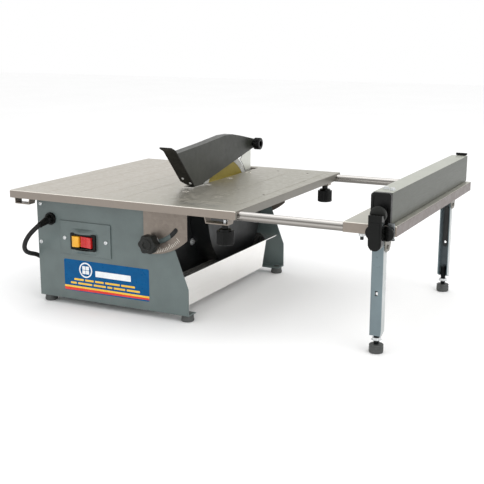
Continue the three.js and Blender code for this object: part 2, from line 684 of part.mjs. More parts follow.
// ---- switch ----
function switchGear(group) {
  const { left, right, top, bottom } = SWITCH;
  const cover = cut(
    block(75, 169.5, 28, 29.7, -100, -47),
    block(left + 1.5, right - 1.5, 27, 31, bottom + 1.5, top - 1.5)
  );
  part(group, "switch_plate", cover, paint);
  const bezel = new THREE.Shape();
  bezel.moveTo(left, top);
  bezel.lineTo(left, bottom);
  bezel.quadraticCurveTo(120, bottom - 17, right, bottom);
  bezel.lineTo(right, top);
  bezel.quadraticCurveTo(120, top + 8, left, top);
  const body = union(
    plate(bezel, "y", 24.5, 27.7, 10),
    block(left + 2, right - 2, 27, 56, bottom + 2, top - 2)
  );
  const pocket = block(100, 138.5, 24, 42, -89.5, -68);
  part(group, "switch_housing", cut(body, pocket), black);
  const rocker = [[115, 25], [120, 24.4], [126.5, 23.8], [132, 22.6], [137, 21], [137, 30],
    [130, 37], [122, 37], [115, 30]];
  part(group, "switch_rocker", plate(rocker, "z", -88.9, -68.6), red);
  const key = [[100.7, 22], [107, 20.5], [113.5, 22], [113.5, 40], [100.7, 40]];
  part(group, "switch_key", plate(key, "z", -88.9, -68.6), yellow);
}

// ---- cord ----
// The strain relief is a collar on the panel and a soft boot that droops with the cord.
const BOOT = { length: 21, yaw: -14, pitch: 20 };

function cordGland(group) {
  const { x, z } = GLAND;
  const collar = [[36, 0], [36, 6.5], [29.7, 6.5], [29.7, 10], [25.5, 10], [25.5, 0]];
  const boot = turned("z", [[-6, 0], [-6, 7.5], [3, 7.5], [BOOT.length, 5.2], [BOOT.length, 0]],
    0, 0, 20);
  const aimed = boot.rotate([90 + BOOT.pitch, 0, BOOT.yaw]).translate([x, 25.5, z]);
  const face = block(x - 30, x + 30, 27, 50, z - 30, z + 30);
  part(group, "cord_gland", union(turned("y", collar, x, z), cut(aimed, face)), black);
}

// The cord's middle line, from the boot's mouth to the coil: out, round in a half loop past the
// panel's left edge, down to the floor and along it to the back.
const CORD_ROUTE = [
  [50.82, 5.92, -53.74], [50.25, 3.6, -54.6], [48.5, 0.3, -57.4], [45.5, -4.2, -61.9], [42, -7.3, -67.1],
  [38.2, -8.8, -72.8], [34.4, -8.7, -78.8], [30.8, -6.9, -84.7], [27.6, -3.6, -90.2],
  [24.9, 1, -95], [22.8, 6.7, -99], [21.4, 13.1, -102.3], [20.6, 20, -105], [20.4, 34, -110],
  [19.6, 52, -120.3], [18.4, 74, -133], [17.2, 96, -145.4], [16.2, 118, -157],
  [15.6, 140, -166.8], [15.2, 162, -174.3], [15.2, 184, -178.8], [15.6, 206, -180.5],
  [16.8, 240, -180.7], [18.2, 275, -180.8], [20, 310, -180.8], [21.8, 345, -180.8],
  [23.4, 378, -180.8], [24, 404.6, -180.8],
];

function cord(group) {
  const route = new THREE.CatmullRomCurve3(CORD_ROUTE.map((point) => new THREE.Vector3(...point)));
  const section = new THREE.Shape();
  section.absarc(0, 0, CORD.radius, 0, 2 * Math.PI, false);
  const options = { steps: 36, extrudePath: route, curveSegments: 5 };
  part(group, "power_cord", solid(new THREE.ExtrudeGeometry(section, options)), black);
  const { coilX, coilY, inner, outer, height } = CORD;
  const low = FLOOR + 0.02;
  const ring = [
    [low, inner], [low, outer], [low + height, outer], [low + height, inner], [low, inner],
  ];
  part(group, "cord_coil", turned("z", ring, coilX, coilY, 32), black);
  part(group, "plug", plugShape(), black);
}

// Moulded plug lying beside the coil, with its three blades.
function plugShape() {
  const { coilY } = CORD;
  const z = FLOOR + 13.02;
  const body = [
    [0, 6], [12, 8], [20, 13], [38, 14], [42, 12], [42, -12], [38, -14], [20, -13], [12, -8],
    [0, -6],
  ];
  const shape = union(
    plate(body, "z", -13, 9),
    block(40, 60, 5.6, 7.2, -4, 2.5),
    block(40, 60, -7.2, -5.6, -4, 2.5),
    bar("x", 2.4, 40, 62, 0, -8, 16)
  );
  return shape.translate([102, coilY + 46.1, z]);
}

// ---- assembly ----
const saw = new THREE.Group();
const base = new THREE.Group();
const table = new THREE.Group();
const slider = new THREE.Group();
saw.add(base, table, slider);

baseBody(base);
pivotPins(base);
bevelKnob(base, "bevel_knob_front", PANEL.front, -1);
bevelKnob(base, "bevel_knob_rear", PANEL.back, 1);
motor(base);
bladeSet(base);
bladeCover(base);
rivingKnife(base);
bladeGuard(base);
guardKnob(base);
waterTray(base);
switchGear(base);
cordGland(base);

tableTop(table);
bevelBracket(table, "bevel_bracket_front", PANEL.front, -1);
bevelBracket(table, "bevel_bracket_rear", PANEL.back, 1);
for (const [name, y] of [["front", ROD.front], ["rear", ROD.back]]) {
  rodBracket(table, `rod_bracket_${name}_left`, BRACKET.left, y, false);
  rodBracket(table, `rod_bracket_${name}_right`, BRACKET.right, y, true);
  rodLockKnob(table, `rod_lock_knob_${name}`, y);
}

extension(slider);
legs(slider);
fence(slider);

const outline = new THREE.Box3().setFromObject(saw);
const middle = outline.getCenter(new THREE.Vector3());
cord(base);
saw.position.set(-middle.x, -middle.y, -FLOOR);

export default saw;
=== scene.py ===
"""Looks of a portable tile saw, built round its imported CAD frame.

Lengths are millimetres from the front left top corner of the main table, with +X right along
its front edge, +Y back and +Z up. at() turns such a point into the frame's metres.
"""
import json
import math

import bmesh
import bpy
from mathutils import Matrix, Vector

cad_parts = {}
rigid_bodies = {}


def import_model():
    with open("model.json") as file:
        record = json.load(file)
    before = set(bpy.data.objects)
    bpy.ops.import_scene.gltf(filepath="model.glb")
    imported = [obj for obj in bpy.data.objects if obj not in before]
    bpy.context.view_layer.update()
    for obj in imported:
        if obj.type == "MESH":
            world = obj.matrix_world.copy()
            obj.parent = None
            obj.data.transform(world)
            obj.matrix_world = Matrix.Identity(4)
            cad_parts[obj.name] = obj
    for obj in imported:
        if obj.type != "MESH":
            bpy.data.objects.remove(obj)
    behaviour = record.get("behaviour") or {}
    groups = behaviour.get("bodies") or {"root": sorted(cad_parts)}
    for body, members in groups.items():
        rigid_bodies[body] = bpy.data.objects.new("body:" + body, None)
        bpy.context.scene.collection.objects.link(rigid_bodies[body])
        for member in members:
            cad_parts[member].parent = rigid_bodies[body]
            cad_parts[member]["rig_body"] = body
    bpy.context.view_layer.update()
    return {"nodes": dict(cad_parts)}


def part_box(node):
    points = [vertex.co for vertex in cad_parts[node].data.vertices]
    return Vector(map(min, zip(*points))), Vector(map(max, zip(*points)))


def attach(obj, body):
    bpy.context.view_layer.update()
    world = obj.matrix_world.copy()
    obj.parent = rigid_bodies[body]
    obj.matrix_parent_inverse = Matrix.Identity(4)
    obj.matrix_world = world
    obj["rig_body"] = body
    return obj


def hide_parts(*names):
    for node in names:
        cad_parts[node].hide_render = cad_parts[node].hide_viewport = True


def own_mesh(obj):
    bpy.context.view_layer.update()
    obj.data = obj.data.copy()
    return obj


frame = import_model()

MM = 0.001
table_low, table_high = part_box("table_top")
CORNER = Vector((table_low.x, table_low.y, table_high.z))
FLOOR = -CORNER.z / MM
TO_FRAME = Matrix.Translation(CORNER) @ Matrix.Scale(MM, 4)
TO_SAW = TO_FRAME.inverted()


def at(x, y, z):
    return TO_FRAME @ Vector((x, y, z))


def span(node):
    """A CAD node's lowest and highest corner in the saw's own millimetres."""
    low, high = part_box(node)
    return TO_SAW @ low, TO_SAW @ high


def middle(node):
    low, high = span(node)
    return (low + high) / 2


def placed(name, data):
    """A new object in the scene."""
    obj = bpy.data.objects.new(name, data)
    bpy.context.scene.collection.objects.link(obj)
    return obj


# ---- places that several pieces share, in the saw's millimetres ----
TABLE = (0, 400, 0, 405)  # left, right, front and back edges
EXTENSION = (556, 630, 5.5, 406)
END_PANELS = (("front", 30, -1), ("rear", 375, 1))  # outer face along Y, and the way it faces
PANEL_BOTTOM = -174.6
PANEL_SHEET = 1.5
GLAND = (55.7, -46.4)  # x and z of the mains lead's hole
TILT_PIVOT = (242, -7.5)  # x and z of the pins that the table tilts on
BEVEL_KNOB = (249.007, -64.571)  # x and z
BLADE = (272, -52)  # y and z
ROD_LINES = (("front", 14), ("rear", 391))
ROD_HEIGHT = -8.5
ROD_KNOB_X = 377
LEG_LINES = (("front", 37), ("rear", 381))
LEG_X = 597.5
LEG_BOTTOM = -159.6
FENCE_LEVER = (609, 15.7)  # x and z
FENCE_KNOB = (610, -9.5)  # x and z


# ---- camera ----
def make_camera():
    azimuth, elevation = math.radians(26.83), math.radians(12.96)
    flat = math.cos(elevation)
    back = Vector((math.sin(azimuth) * flat, -math.cos(azimuth) * flat, math.sin(elevation)))
    data = bpy.data.cameras.new("camera")
    data.sensor_width = 36
    data.lens = 69.31
    data.clip_start = 0.01
    camera = placed("camera", data)
    camera.location = at(980.2, -1126.4, 248.6)
    camera.rotation_mode = "QUATERNION"
    camera.rotation_quaternion = (-back).to_track_quat("-Z", "Y")
    bpy.context.scene.camera = camera


make_camera()


# ---- materials ----
def rgb(code):
    """A hex colour as linear red, green, blue and alpha."""
    parts = [int(code[i : i + 2], 16) / 255 for i in (1, 3, 5)]
    return (*[c / 12.92 if c <= 0.04045 else ((c + 0.055) / 1.055) ** 2.4 for c in parts], 1)


SELDOM_BELOW, SELDOM_ABOVE = 0.3, 0.7  # a noise mostly keeps within these


class Surface:
    """A Principled material whose colour, roughness and bump come from patterns in the mesh."""

    def __init__(self, name, metallic=0.0, **sockets):
        self.material = bpy.data.materials.new(name)
        self.material.use_nodes = True
        self.tree = self.material.node_tree
        self.shader = self.tree.nodes["Principled BSDF"]
        self.shader.inputs["Metallic"].default_value = metallic
        for socket, value in sockets.items():
            self.shader.inputs[socket.replace("_", " ")].default_value = value
        self.place = self.tree.nodes.new("ShaderNodeTexCoord").outputs["Object"]
        self.normal = None

    def add(self, kind, inputs, **settings):
        node = self.tree.nodes.new("ShaderNode" + kind)
        for key, value in settings.items():
            setattr(node, key, value)
        for key, value in inputs.items():
            if isinstance(value, bpy.types.NodeSocket):
                self.tree.links.new(value, node.inputs[key])
            else:
                node.inputs[key].default_value = value
        return node

    def stretched(self, stretch):
        return self.add("Mapping", {"Vector": self.place, "Scale": stretch}).outputs[0]

    def noise(self, size, detail, stretch=(1, 1, 1), rough=0.6):
        """Cloudy noise whose blobs are about size millimetres across."""
        inputs = {
            "Vector": self.stretched(stretch),
            "Scale": 1 / (size * MM),
            "Detail": detail,
            "Roughness": rough,
        }
        return self.add("TexNoise", inputs).outputs["Fac"]

    def cells(self, size):
        """One grey level for each crystal about size millimetres across."""
        inputs = {"Vector": self.place, "Scale": 1 / (size * MM)}
        colour = self.add("TexVoronoi", inputs).outputs["Color"]
        return self.add("RGBToBW", {0: colour}).outputs[0]

    def along(self, axis, start, end):
        """0 at start and 1 at end along the object's axis, both in millimetres of the saw."""
        split = self.add("SeparateXYZ", {0: self.place})
        ends = [at(*[v if i == axis else 0 for i in range(3)])[axis] for v in (start, end)]
        return self.add("MapRange", {0: split.outputs[axis], 1: ends[0], 2: ends[1]}).outputs[0]

    def both(self, a, b, share=0.5):
        """A blend of two patterns."""
        node = self.add("Mix", {0: share, 2: a, 3: b}, data_type="FLOAT")
        return node.outputs[0]

    def colour(self, pattern, *stops):
        """Base colours at positions along a pattern's range."""
        ramp = self.add("ValToRGB", {0: pattern})
        elements = ramp.color_ramp.elements
        for i, (position, code) in enumerate(stops):
            element = elements[i] if i < 2 else elements.new(position)
            element.position = position
            element.color = rgb(code)
        self.tree.links.new(ramp.outputs[0], self.shader.inputs["Base Color"])
        return self

    def shades(self, pattern, dark, light):
        """From dark to light as a pattern rises."""
        return self.colour(pattern, (SELDOM_BELOW, dark), (SELDOM_ABOVE, light))

    def rough(self, pattern, low, high):
        inputs = {0: pattern, 1: SELDOM_BELOW, 2: SELDOM_ABOVE, 3: low, 4: high}
        node = self.add("MapRange", inputs)
        self.tree.links.new(node.outputs[0], self.shader.inputs["Roughness"])
        return self

    def bump(self, pattern, depth, strength):
        """Relief of depth millimetres."""
        inputs = {"Height": pattern, "Distance": depth * MM, "Strength": strength}
        if self.normal is not None:
            inputs["Normal"] = self.normal
        self.normal = self.add("Bump", inputs).outputs[0]
        self.tree.links.new(self.normal, self.shader.inputs["Normal"])
        return self


def enamel(name, dark, light, low, high, **sockets):
    """Sprayed enamel: slight mottling, a fine orange peel and small gloss changes."""
    s = Surface(name, **sockets)
    cloud = s.noise(38, 3)
    s.shades(cloud, dark, light)
    s.rough(s.noise(12, 5), low, high)
    return s.bump(s.noise(1.1, 2), 0.05, 0.5).bump(cloud, 0.4, 0.2).material


def galvanised(name, dark, light, stretch, metallic=0.72, painted_shade_ramp=None):
    """Zinc-coated sheet: faint crystals, and rolling lines along one way. The optional last
    argument is
    painted shade: an axis and its bright and dull ends, darkening the colour towards the dull end."""
    s = Surface(name, metallic=metallic)
    crystals = s.cells(5.5)
    lines = s.noise(1.6, 5, stretch, 0.7)
    pattern = s.both(s.both(crystals, s.noise(60, 3), 0.55), lines, 0.35)
    # painted shade: the colour darkens along an axis towards its dull end
    if painted_shade_ramp:
        pattern = s.both(pattern, s.along(painted_shade_ramp[0], painted_shade_ramp[2], painted_shade_ramp[1]), 0.6)
    s.shades(pattern, dark, light)
    s.rough(s.both(crystals, lines), 0.3, 0.44)
    return s.bump(lines, 0.05, 0.35).bump(s.noise(24, 2), 0.25, 0.25).material


def brushed(name, dark, light, stretch, low, high, metallic, size=0.9):
    """Bare metal with fine lines along one way."""
    s = Surface(name, metallic=metallic)
    lines = s.noise(size, 6, stretch, 0.75)
    s.colour(s.both(lines, s.noise(30, 2), 0.3), (0.32, dark), (0.68, light))
    s.rough(lines, low, high)
    return s.bump(lines, 0.02, 0.4).material


def moulded(name, dark, light, low, high, grain=0.6, depth=0.03, shine=0.5, **sockets):
    """Moulded plastic or rubber: an even colour with a fine grain."""
    s = Surface(name, **sockets)
    s.shader.inputs["Specular IOR Level"].default_value = shine
    s.shades(s.noise(16, 3), dark, light)
    s.rough(s.noise(5, 4), low, high)
    return s.bump(s.noise(grain, 2), depth, 0.6).material


ALONG_X, ALONG_Y, ALONG_Z = (0.04, 1, 1), (1, 0.04, 1), (1, 1, 0.04)
paint = enamel("base_paint", "#566160", "#5e6a69", 0.34, 0.46, Coat_Weight=0.12)
leg_paint = enamel("leg_paint", "#606e73", "#69797e", 0.26, 0.38, Coat_Weight=0.2)
# A lighter copy of the leg paint for the legs' right-facing flanges: painted light.
lit_leg_side = enamel("lit_leg_side", "#9ea3a3", "#b2b6b5", 0.26, 0.38, Coat_Weight=0.2)
# A darker copy of the leg paint for the faces inside the legs' channels: painted shade.
shaded_leg_inside = enamel("shaded_leg_inside", "#414b50", "#4b565b", 0.3, 0.42)
dark_paint = enamel("dark_paint", "#131516", "#1c1e1f", 0.38, 0.52)
guard_paint = enamel("guard_paint", "#262823", "#2f312b", 0.36, 0.48)
motor_paint = enamel("motor_paint", "#25282b", "#33373a", 0.4, 0.6)
# The table top's colour darkens towards its right side: painted shade.
table_zinc = galvanised("table_zinc", "#9e9b8f", "#b3ada2", ALONG_Y, painted_shade_ramp=(0, 60, 400))
wing_zinc = galvanised("wing_zinc", "#aba99e", "#bdbbb0", ALONG_Y)
# A brighter copy of the zinc: painted highlight on the sheets' front folds and the drain rims; also
# the quadrants' real bright marks.
fold_highlight_and_mark_zinc = galvanised("fold_highlight_and_mark_zinc", "#dedad0", "#f0ece2", ALONG_X, 0.5)
# The rod brackets' own zinc; on the folded sheets' front and back lips it is painted shade, darker
# than their tops.
bracket_and_shaded_lip_zinc = galvanised("bracket_and_shaded_lip_zinc", "#8c837a", "#8a827a", ALONG_X, painted_shade_ramp=(0, 0, 400))
# The leg brackets' own zinc; on the table's left and right faces it is painted shade, darker than
# the top.
leg_bracket_and_shaded_side_zinc = galvanised("leg_bracket_and_shaded_side_zinc", "#74716a", "#84817a", ALONG_Y)
# A darker copy of the wing's zinc for the extension's left and right faces: painted shade.
shaded_mauve_side_zinc = galvanised("shaded_mauve_side_zinc", "#655c59", "#756c68", ALONG_Y)
quadrant_zinc = galvanised("quadrant_zinc", "#756c64", "#887f76", ALONG_X)
tray_metal = brushed("tray_metal", "#f0eeeb", "#fbfaf8", ALONG_Y, 0.12, 0.22, 0.9, 1.4)
knife_metal = brushed("knife_metal", "#c6c7c0", "#e0e1da", ALONG_Z, 0.26, 0.4, 0.75)
zinc = brushed("zinc_plate", "#bfc2c4", "#e2e4e4", (1, 1, 1), 0.22, 0.4, 0.6, 2.5)
machined = brushed("machined_steel", "#6f7375", "#8f9395", (1, 1, 1), 0.25, 0.45, 0.95, 1.2)
# One aluminium bar in two copies: the darker sides are painted shade, the lighter top painted
# light.
shaded_fence_side = brushed("shaded_fence_side", "#42453e", "#53564e", ALONG_Y, 0.3, 0.44, 0.6, 0.8)
lit_fence_top = brushed("lit_fence_top", "#a5a79c", "#bcbeb3", ALONG_Y, 0.3, 0.44, 0.7, 0.8)
dark_steel = brushed("dark_steel", "#1d1f20", "#2c2f30", (1, 1, 1), 0.3, 0.5, 0.6, 2.5)
copper = brushed("copper_winding", "#8a4a26", "#b4683a", (0.1, 1, 1), 0.3, 0.5, 0.9, 1.2)
gloss_black = moulded("gloss_black", "#060706", "#0b0c0b", 0.12, 0.24, shine=0.18)
knob_grey = moulded("knob_grey", "#171816", "#20211f", 0.34, 0.48, 0.6, 0.05, shine=0.25)
matt_black = moulded("matt_black", "#070707", "#0f0f0f", 0.3, 0.44, 0.5, 0.06, shine=0.2)
flap_rubber = moulded("flap_rubber", "#151512", "#201f1b", 0.5, 0.68, 0.8, 0.08, shine=0.2)
rubber = moulded("black_rubber", "#0f0f0f", "#1b1b1b", 0.5, 0.68, 0.8, 0.08, shine=0.3)
pad_rubber = moulded("pad_rubber", "#3a3c3b", "#4a4c4b", 0.5, 0.7, 0.7, 0.08)
red_plastic = moulded("red_plastic", "#b81d20", "#cb2827", 0.22, 0.34)
yellow_plastic = moulded("yellow_plastic", "#dfa022", "#ecb233", 0.24, 0.36)
label_blue = moulded("label_blue", "#004c7e", "#005488", 0.25, 0.35, 1.2, 0.01, 0.12)
label_red = moulded("label_red", "#cf281b", "#dc3626", 0.2, 0.3, 1.2, 0.01)
label_yellow = moulded("label_yellow", "#e8b42b", "#f2c441", 0.2, 0.3, 1.2, 0.01)
label_white = moulded("label_white", "#dfe2e4", "#f0f1f1", 0.2, 0.3, 1.2, 0.01)


def rod_chrome():
    """Bright drawn bar, with painted reflection: the sky above and the bench below lie in its
    colour as bands along its length.
    """
    s = Surface("chrome_rod", metallic=0.85)
    facing = s.tree.nodes["Texture Coordinate"].outputs["Normal"]
    up = s.add("SeparateXYZ", {0: facing}).outputs[2]
    level = s.add("MapRange", {0: up, 1: -1.0, 2: 1.0}).outputs[0]
    # painted reflection: colour bands by how far each face turns up
    below = [(0.0, "#66625d"), (0.3, "#8d8984")]
    above = [(0.5, "#b0aca7"), (0.66, "#66635e"), (0.82, "#c9c6c2")]
    s.colour(level, *below, *above)
    lines = s.noise(0.6, 6, ALONG_X, 0.75)
    return s.rough(lines, 0.12, 0.22).bump(lines, 0.01, 0.3).material


chrome = rod_chrome()


def disc_core_material():
    """Yellow-tinted steel with the rings that grinding leaves, about the blade's own axis."""
    s = Surface("blade_core", metallic=0.55)
    centre = at(0, *middle("blade").yz)
    moved = s.add("Mapping", {"Vector": s.place, "Location": -centre}).outputs[0]
    split = s.add("SeparateXYZ", {0: moved})

    def calculated(operation, a, b):
        return s.add("Math", {0: a, 1: b}, operation=operation).outputs[0]

    squares = [calculated("POWER", split.outputs[i], 2.0) for i in (1, 2)]
    radius = calculated("POWER", calculated("ADD", *squares), 0.5)
    line = s.add("CombineXYZ", {0: radius}).outputs[0]
    rings = s.add("TexNoise", {"Vector": line, "Scale": 900, "Detail": 4}).outputs["Fac"]
    s.shades(s.both(rings, s.noise(20, 3), 0.4), "#7d6f26", "#9a8a38")
    return s.rough(rings, 0.3, 0.5).bump(rings, 0.02, 0.5).material


blade_core = disc_core_material()
blade_rim = moulded("blade_rim", "#9a9b98", "#cfcfcb", 0.45, 0.7, 0.5, 0.12, metallic=0.5)


# ---- mesh making, in the saw's millimetres ----
SHARP = 32  # edges that turn more degrees than this are sharp
FLAT = math.radians(1)  # faces that turn less than this are one face


def spot(axis, along, u, v):
    """A point at a distance along an axis, with its other two coordinates in order."""
    return {"x": (along, u, v), "y": (u, along, v), "z": (u, v, along)}[axis]


def lathe(axis, profile, u, v, sides=48):
    """A profile of (distance along the axis, radius) pairs, turned about the axis at (u, v)."""
    bm = bmesh.new()
    closed = profile[0] == profile[-1]
    rings = []
    for along, radius in profile[:-1] if closed else profile:
        steps = [i * math.tau / sides for i in range(sides if radius > 1e-6 else 1)]
        points = [(u + radius * math.cos(a), v + radius * math.sin(a)) for a in steps]
        rings.append([bm.verts.new(spot(axis, along, *p)) for p in points])
    for a, b in zip(rings, rings[1:] + (rings[:1] if closed else [])):
        for i in range(sides):
            j = (i + 1) % sides
            ring = [a[i % len(a)], a[j % len(a)], b[j % len(b)], b[i % len(b)]]
            corners = list(dict.fromkeys(ring))
            if len(corners) > 2:
                bm.faces.new(corners)
    return bm


def prism(axis, outline, low, high, holes=()):
    """An outline, and any holes in it, extruded along an axis."""
    bm = bmesh.new()
    loops = []
    for points in (outline, *holes):
        loops.append([bm.verts.new(spot(axis, low, *p)) for p in points])
    rims = [pair for loop in loops for pair in zip(loop, loop[1:] + loop[:1])]
    if holes:
        edges = [bm.edges.new(pair) for pair in rims]
        bmesh.ops.triangle_fill(bm, edges=edges, use_beauty=True)
    else:
        bm.faces.new(loops[0])
    lift = Vector(spot(axis, high - low, 0, 0))
    top = {v: bm.verts.new(v.co + lift) for loop in loops for v in loop}
    for face in list(bm.faces):
        bm.faces.new([top[v] for v in face.verts])
    for a, b in rims:
        bm.faces.new((a, b, top[b], top[a]))
    return bm


def skin(rings):
    """Faces between rings of as many points, closed at both ends."""
    bm = bmesh.new()
    rows = [[bm.verts.new(p) for p in ring] for ring in rings]
    count = len(rows[0])
    for a, b in zip(rows, rows[1:]):
        for i in range(count):
            j = (i + 1) % count
            bm.faces.new((a[i], a[j], b[j], b[i]))
    bm.faces.new(rows[0])
    bm.faces.new(rows[-1])
    return bm


def arc(u, v, radius, start, end, steps):
    """Points from one angle to another, in degrees."""
    angles = [math.radians(start + (end - start) * i / steps) for i in range(steps + 1)]
    return [(u + radius * math.cos(a), v + radius * math.sin(a)) for a in angles]


def circle(u, v, radius, steps):
    return arc(u, v, radius, 0, 360 - 360 / steps, steps - 1)


def wavy(u, v, radius, depth, lobes, steps):
    """A round outline with lobes, which are depth deep."""
    points = []
    for i in range(steps):
        turn = i * math.tau / steps
        reach = radius - depth / 2 * (1 - math.cos(lobes * turn))
        points.append((u + reach * math.cos(turn), v + reach * math.sin(turn)))
    return points


def rounded(u0, u1, v0, v1, radius, steps=5):
    """A rectangle with round corners."""
    corners = [(u1, v0, -90), (u1, v1, 0), (u0, v1, 90), (u0, v0, 180)]
    points = []
    for u, v, start in corners:
        across = u - math.copysign(radius, u - (u0 + u1) / 2)
        up = v - math.copysign(radius, v - (v0 + v1) / 2)
        points += arc(across, up, radius, start, start + 90, steps)
    return points


def box(x0, x1, y0, y1, z0, z1):
    return prism("z", [(x0, y0), (x1, y0), (x1, y1), (x0, y1)], z0, z1)


def aimed(bm, place, direction):
    """Turns a mesh made about +Z to face a direction, and moves it to a place."""
    turn = Vector(direction).to_track_quat("Z", "Y").to_matrix().to_4x4()
    bm.transform(Matrix.Translation(place) @ turn)
    return bm


def joined(*parts):
    whole = bmesh.new()
    for bm in parts:
        mesh = bpy.data.meshes.new("part")
        bm.to_mesh(mesh)
        bm.free()
        whole.from_mesh(mesh)
        bpy.data.meshes.remove(mesh)
    return whole


def soften(obj, bevel, segments, angle):
    """Rounds the sharp edges, and shades flat faces flat."""
    for polygon in obj.data.polygons:
        polygon.use_smooth = True
    if bevel:
        edge = obj.modifiers.new("edge", "BEVEL")
        edge.width = bevel * MM
        edge.segments = segments
        edge.limit_method = "ANGLE"
        edge.angle_limit = math.radians(angle)
    obj.data.set_sharp_from_angle(angle=math.radians(angle))
    if bevel:
        obj.modifiers.new("shading", "WEIGHTED_NORMAL").keep_sharp = False


def make(
    name, bm, material, body=None, stands_for=(), bevel=0.0, segments=2, angle=SHARP
):
    """A piece from a mesh in the saw's millimetres, riding on a body or on what it stands for."""
    bmesh.ops.recalc_face_normals(bm, faces=bm.faces)
    mesh = bpy.data.meshes.new(name)
    bm.to_mesh(mesh)
    bm.free()
    mesh.transform(TO_FRAME)
    mesh.materials.append(material)
    piece = placed(name, mesh)
    soften(piece, bevel, segments, angle)
    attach(piece, body or frame["nodes"][stands_for[0]]["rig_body"])
    if stands_for:
        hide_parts(*stands_for)
    return piece


def carry(material, *nodes, bevel=0.35):
    """CAD nodes whose shape is right: their edges are softened and their finish is set."""
    for node in nodes:
        obj = frame["nodes"][node]
        obj.data.materials.clear()
        obj.data.materials.append(material)
        obj.modifiers.new("weld", "WELD").merge_threshold = 1e-6
        flat = obj.modifiers.new("flat", "DECIMATE")
        flat.decimate_type = "DISSOLVE"
        flat.angle_limit = FLAT
        soften(obj, bevel, segments=2, angle=SHARP)


def paint_light_and_shade(piece, material, test):
    """A second material on the faces that pass a test of their middle and the way they face; each
    use paints light and shade by the way faces face.
    """
    piece.data.materials.append(material)
    index = len(piece.data.materials) - 1
    for polygon in piece.data.polygons:
        if test(TO_SAW @ polygon.center, polygon.normal):
            polygon.material_index = index


def near(value, target):
    return abs(value - target) < 0.1


def refined(name, node, material, slot, *bends, bevel=0.3, cuts=(), across=(1, 0, 0)):
    """A sheet metal CAD node with real bend radii. A bend is a radius and a test of an edge's
    middle and direction. Flat faces are parted at the cuts, each a distance along the axis across,
    so that none has a hole within it."""
    bm = bmesh.new()
    bm.from_mesh(frame["nodes"][node].data)
    bm.transform(TO_SAW)
    bmesh.ops.remove_doubles(bm, verts=bm.verts, dist=0.01)
    for place in cuts:
        whole = [*bm.verts, *bm.edges, *bm.faces]
        plane = {"plane_co": Vector(across) * place, "plane_no": across}
        parted = bmesh.ops.bisect_plane(bm, geom=whole, dist=0.001, **plane)
        for item in parted["geom_cut"]:
            if isinstance(item, bmesh.types.BMEdge):
                item.seam = True
    parts = {"verts": bm.verts, "edges": bm.edges}
    bmesh.ops.dissolve_limit(bm, **parts, angle_limit=FLAT, delimit={"SEAM"})
    for radius, test in bends:
        chosen = []
        for edge in bm.edges:
            if len(edge.link_faces) == 2 and edge.calc_face_angle(0) > 0.5:
                ends = [v.co for v in edge.verts]
                if test((ends[0] + ends[1]) / 2, (ends[1] - ends[0]).normalized()):
                    chosen.append(edge)
        shape = {"offset": radius, "segments": 4, "profile": 0.5, "clamp_overlap": True}
        bmesh.ops.bevel(bm, geom=chosen, affect="EDGES", **shape)
    return make(name, bm, material, stands_for=[node], bevel=bevel)


FOLD_RADIUS = 1.4


def rim_bend(left, right, front, back):
    """The bend round the top of a folded sheet and down its corners."""

    def test(m, d):
        side = near(m.x, left) or near(m.x, right)
        end = near(m.y, front) or near(m.y, back)
        top = (side or end) and near(m.z, 0)
        corner = side and end and abs(d.z) > 0.9
        return top or corner

    return FOLD_RADIUS, test


def sheet_light_and_shade(plate, sides):
    """The duller lips and sides of a folded sheet, painted shade, and its bright front fold, a
    painted highlight.
    """
    paint_light_and_shade(plate, bracket_and_shaded_lip_zinc, lambda m, n: abs(n.y) > 0.7)
    paint_light_and_shade(plate, sides, lambda m, n: abs(n.x) > 0.7)
    paint_light_and_shade(plate, fold_highlight_and_mark_zinc, lambda m, n: n.z > 0.2 and -0.98 < n.y < -0.2)


def screw(name, x, z, face):
    """Pan head screw in a panel that faces the front, with a small socket."""
    radius, height = 3.1, 1.9
    steps = [(0, 0), (0, 1), (0.45, 1), (0.85, 0.8), (1, 0.5), (1, 0.34), (0.4, 0.2), (0.4, 0)]
    profile = [(face - height * out, radius * reach) for out, reach in steps]
    make(name, lathe("y", profile, x, z, 24), zinc, "base")


def hex_bolt(name, axis, u, v, low, high, radius, body, washer=0.0):
    """A hexagon head or nut, on a washer where it has a radius."""
    head = circle(u, v, radius, 6)
    parts = [prism(axis, head, low, high)]
    if washer:
        profile = [(low, 0), (low, washer), (low + 0.8, washer), (low + 0.8, 0)]
        parts.append(lathe(axis, profile, u, v, 32))
    make(name, joined(*parts), zinc, body, bevel=0.3)


# ---- mains lead ----
LEAD_RADIUS = 3.7
LEAD_ROUTE = [  # from the strain relief down to the bench, and back along it
    (50.82, 5.92, -53.74), (50.25, 3.6, -54.6), (48.5, 0.3, -57.4), (45.5, -4.2, -61.9),
    (42, -7.3, -67.1), (38.2, -8.8, -72.8), (34.4, -8.7, -78.8), (30.8, -6.9, -84.7),
    (27.6, -3.6, -90.2), (24.9, 1, -95), (22.8, 6.7, -99), (21.4, 13.1, -102.3),
    (20.6, 20, -105), (20.4, 34, -110), (19.6, 52, -120.3), (18.4, 74, -133),
    (17.2, 96, -145.4), (16.2, 118, -157), (15.6, 140, -166.8), (15.2, 162, -174.3),
    (15.2, 184, -178.8), (15.6, 206, -180.5), (16.8, 240, -180.7), (18.2, 275, -180.8),
    (20, 310, -180.8), (21.8, 345, -180.8), (23.4, 378, -180.8), (24, 404.6, -180.8),
]
COIL = (70, 432)  # x and y of the middle of the coil
WIDE_TURN, NARROW_TURN = 46.05, 38.4  # radii
ON_BENCH = 3.8  # height of the lead's middle where it lies down
LAYER = 7.5  # height of one turn above another
COIL_END = 1530  # degrees
TAIL = (102, 478.1, FLOOR + 13.02)  # where the lead enters the plug


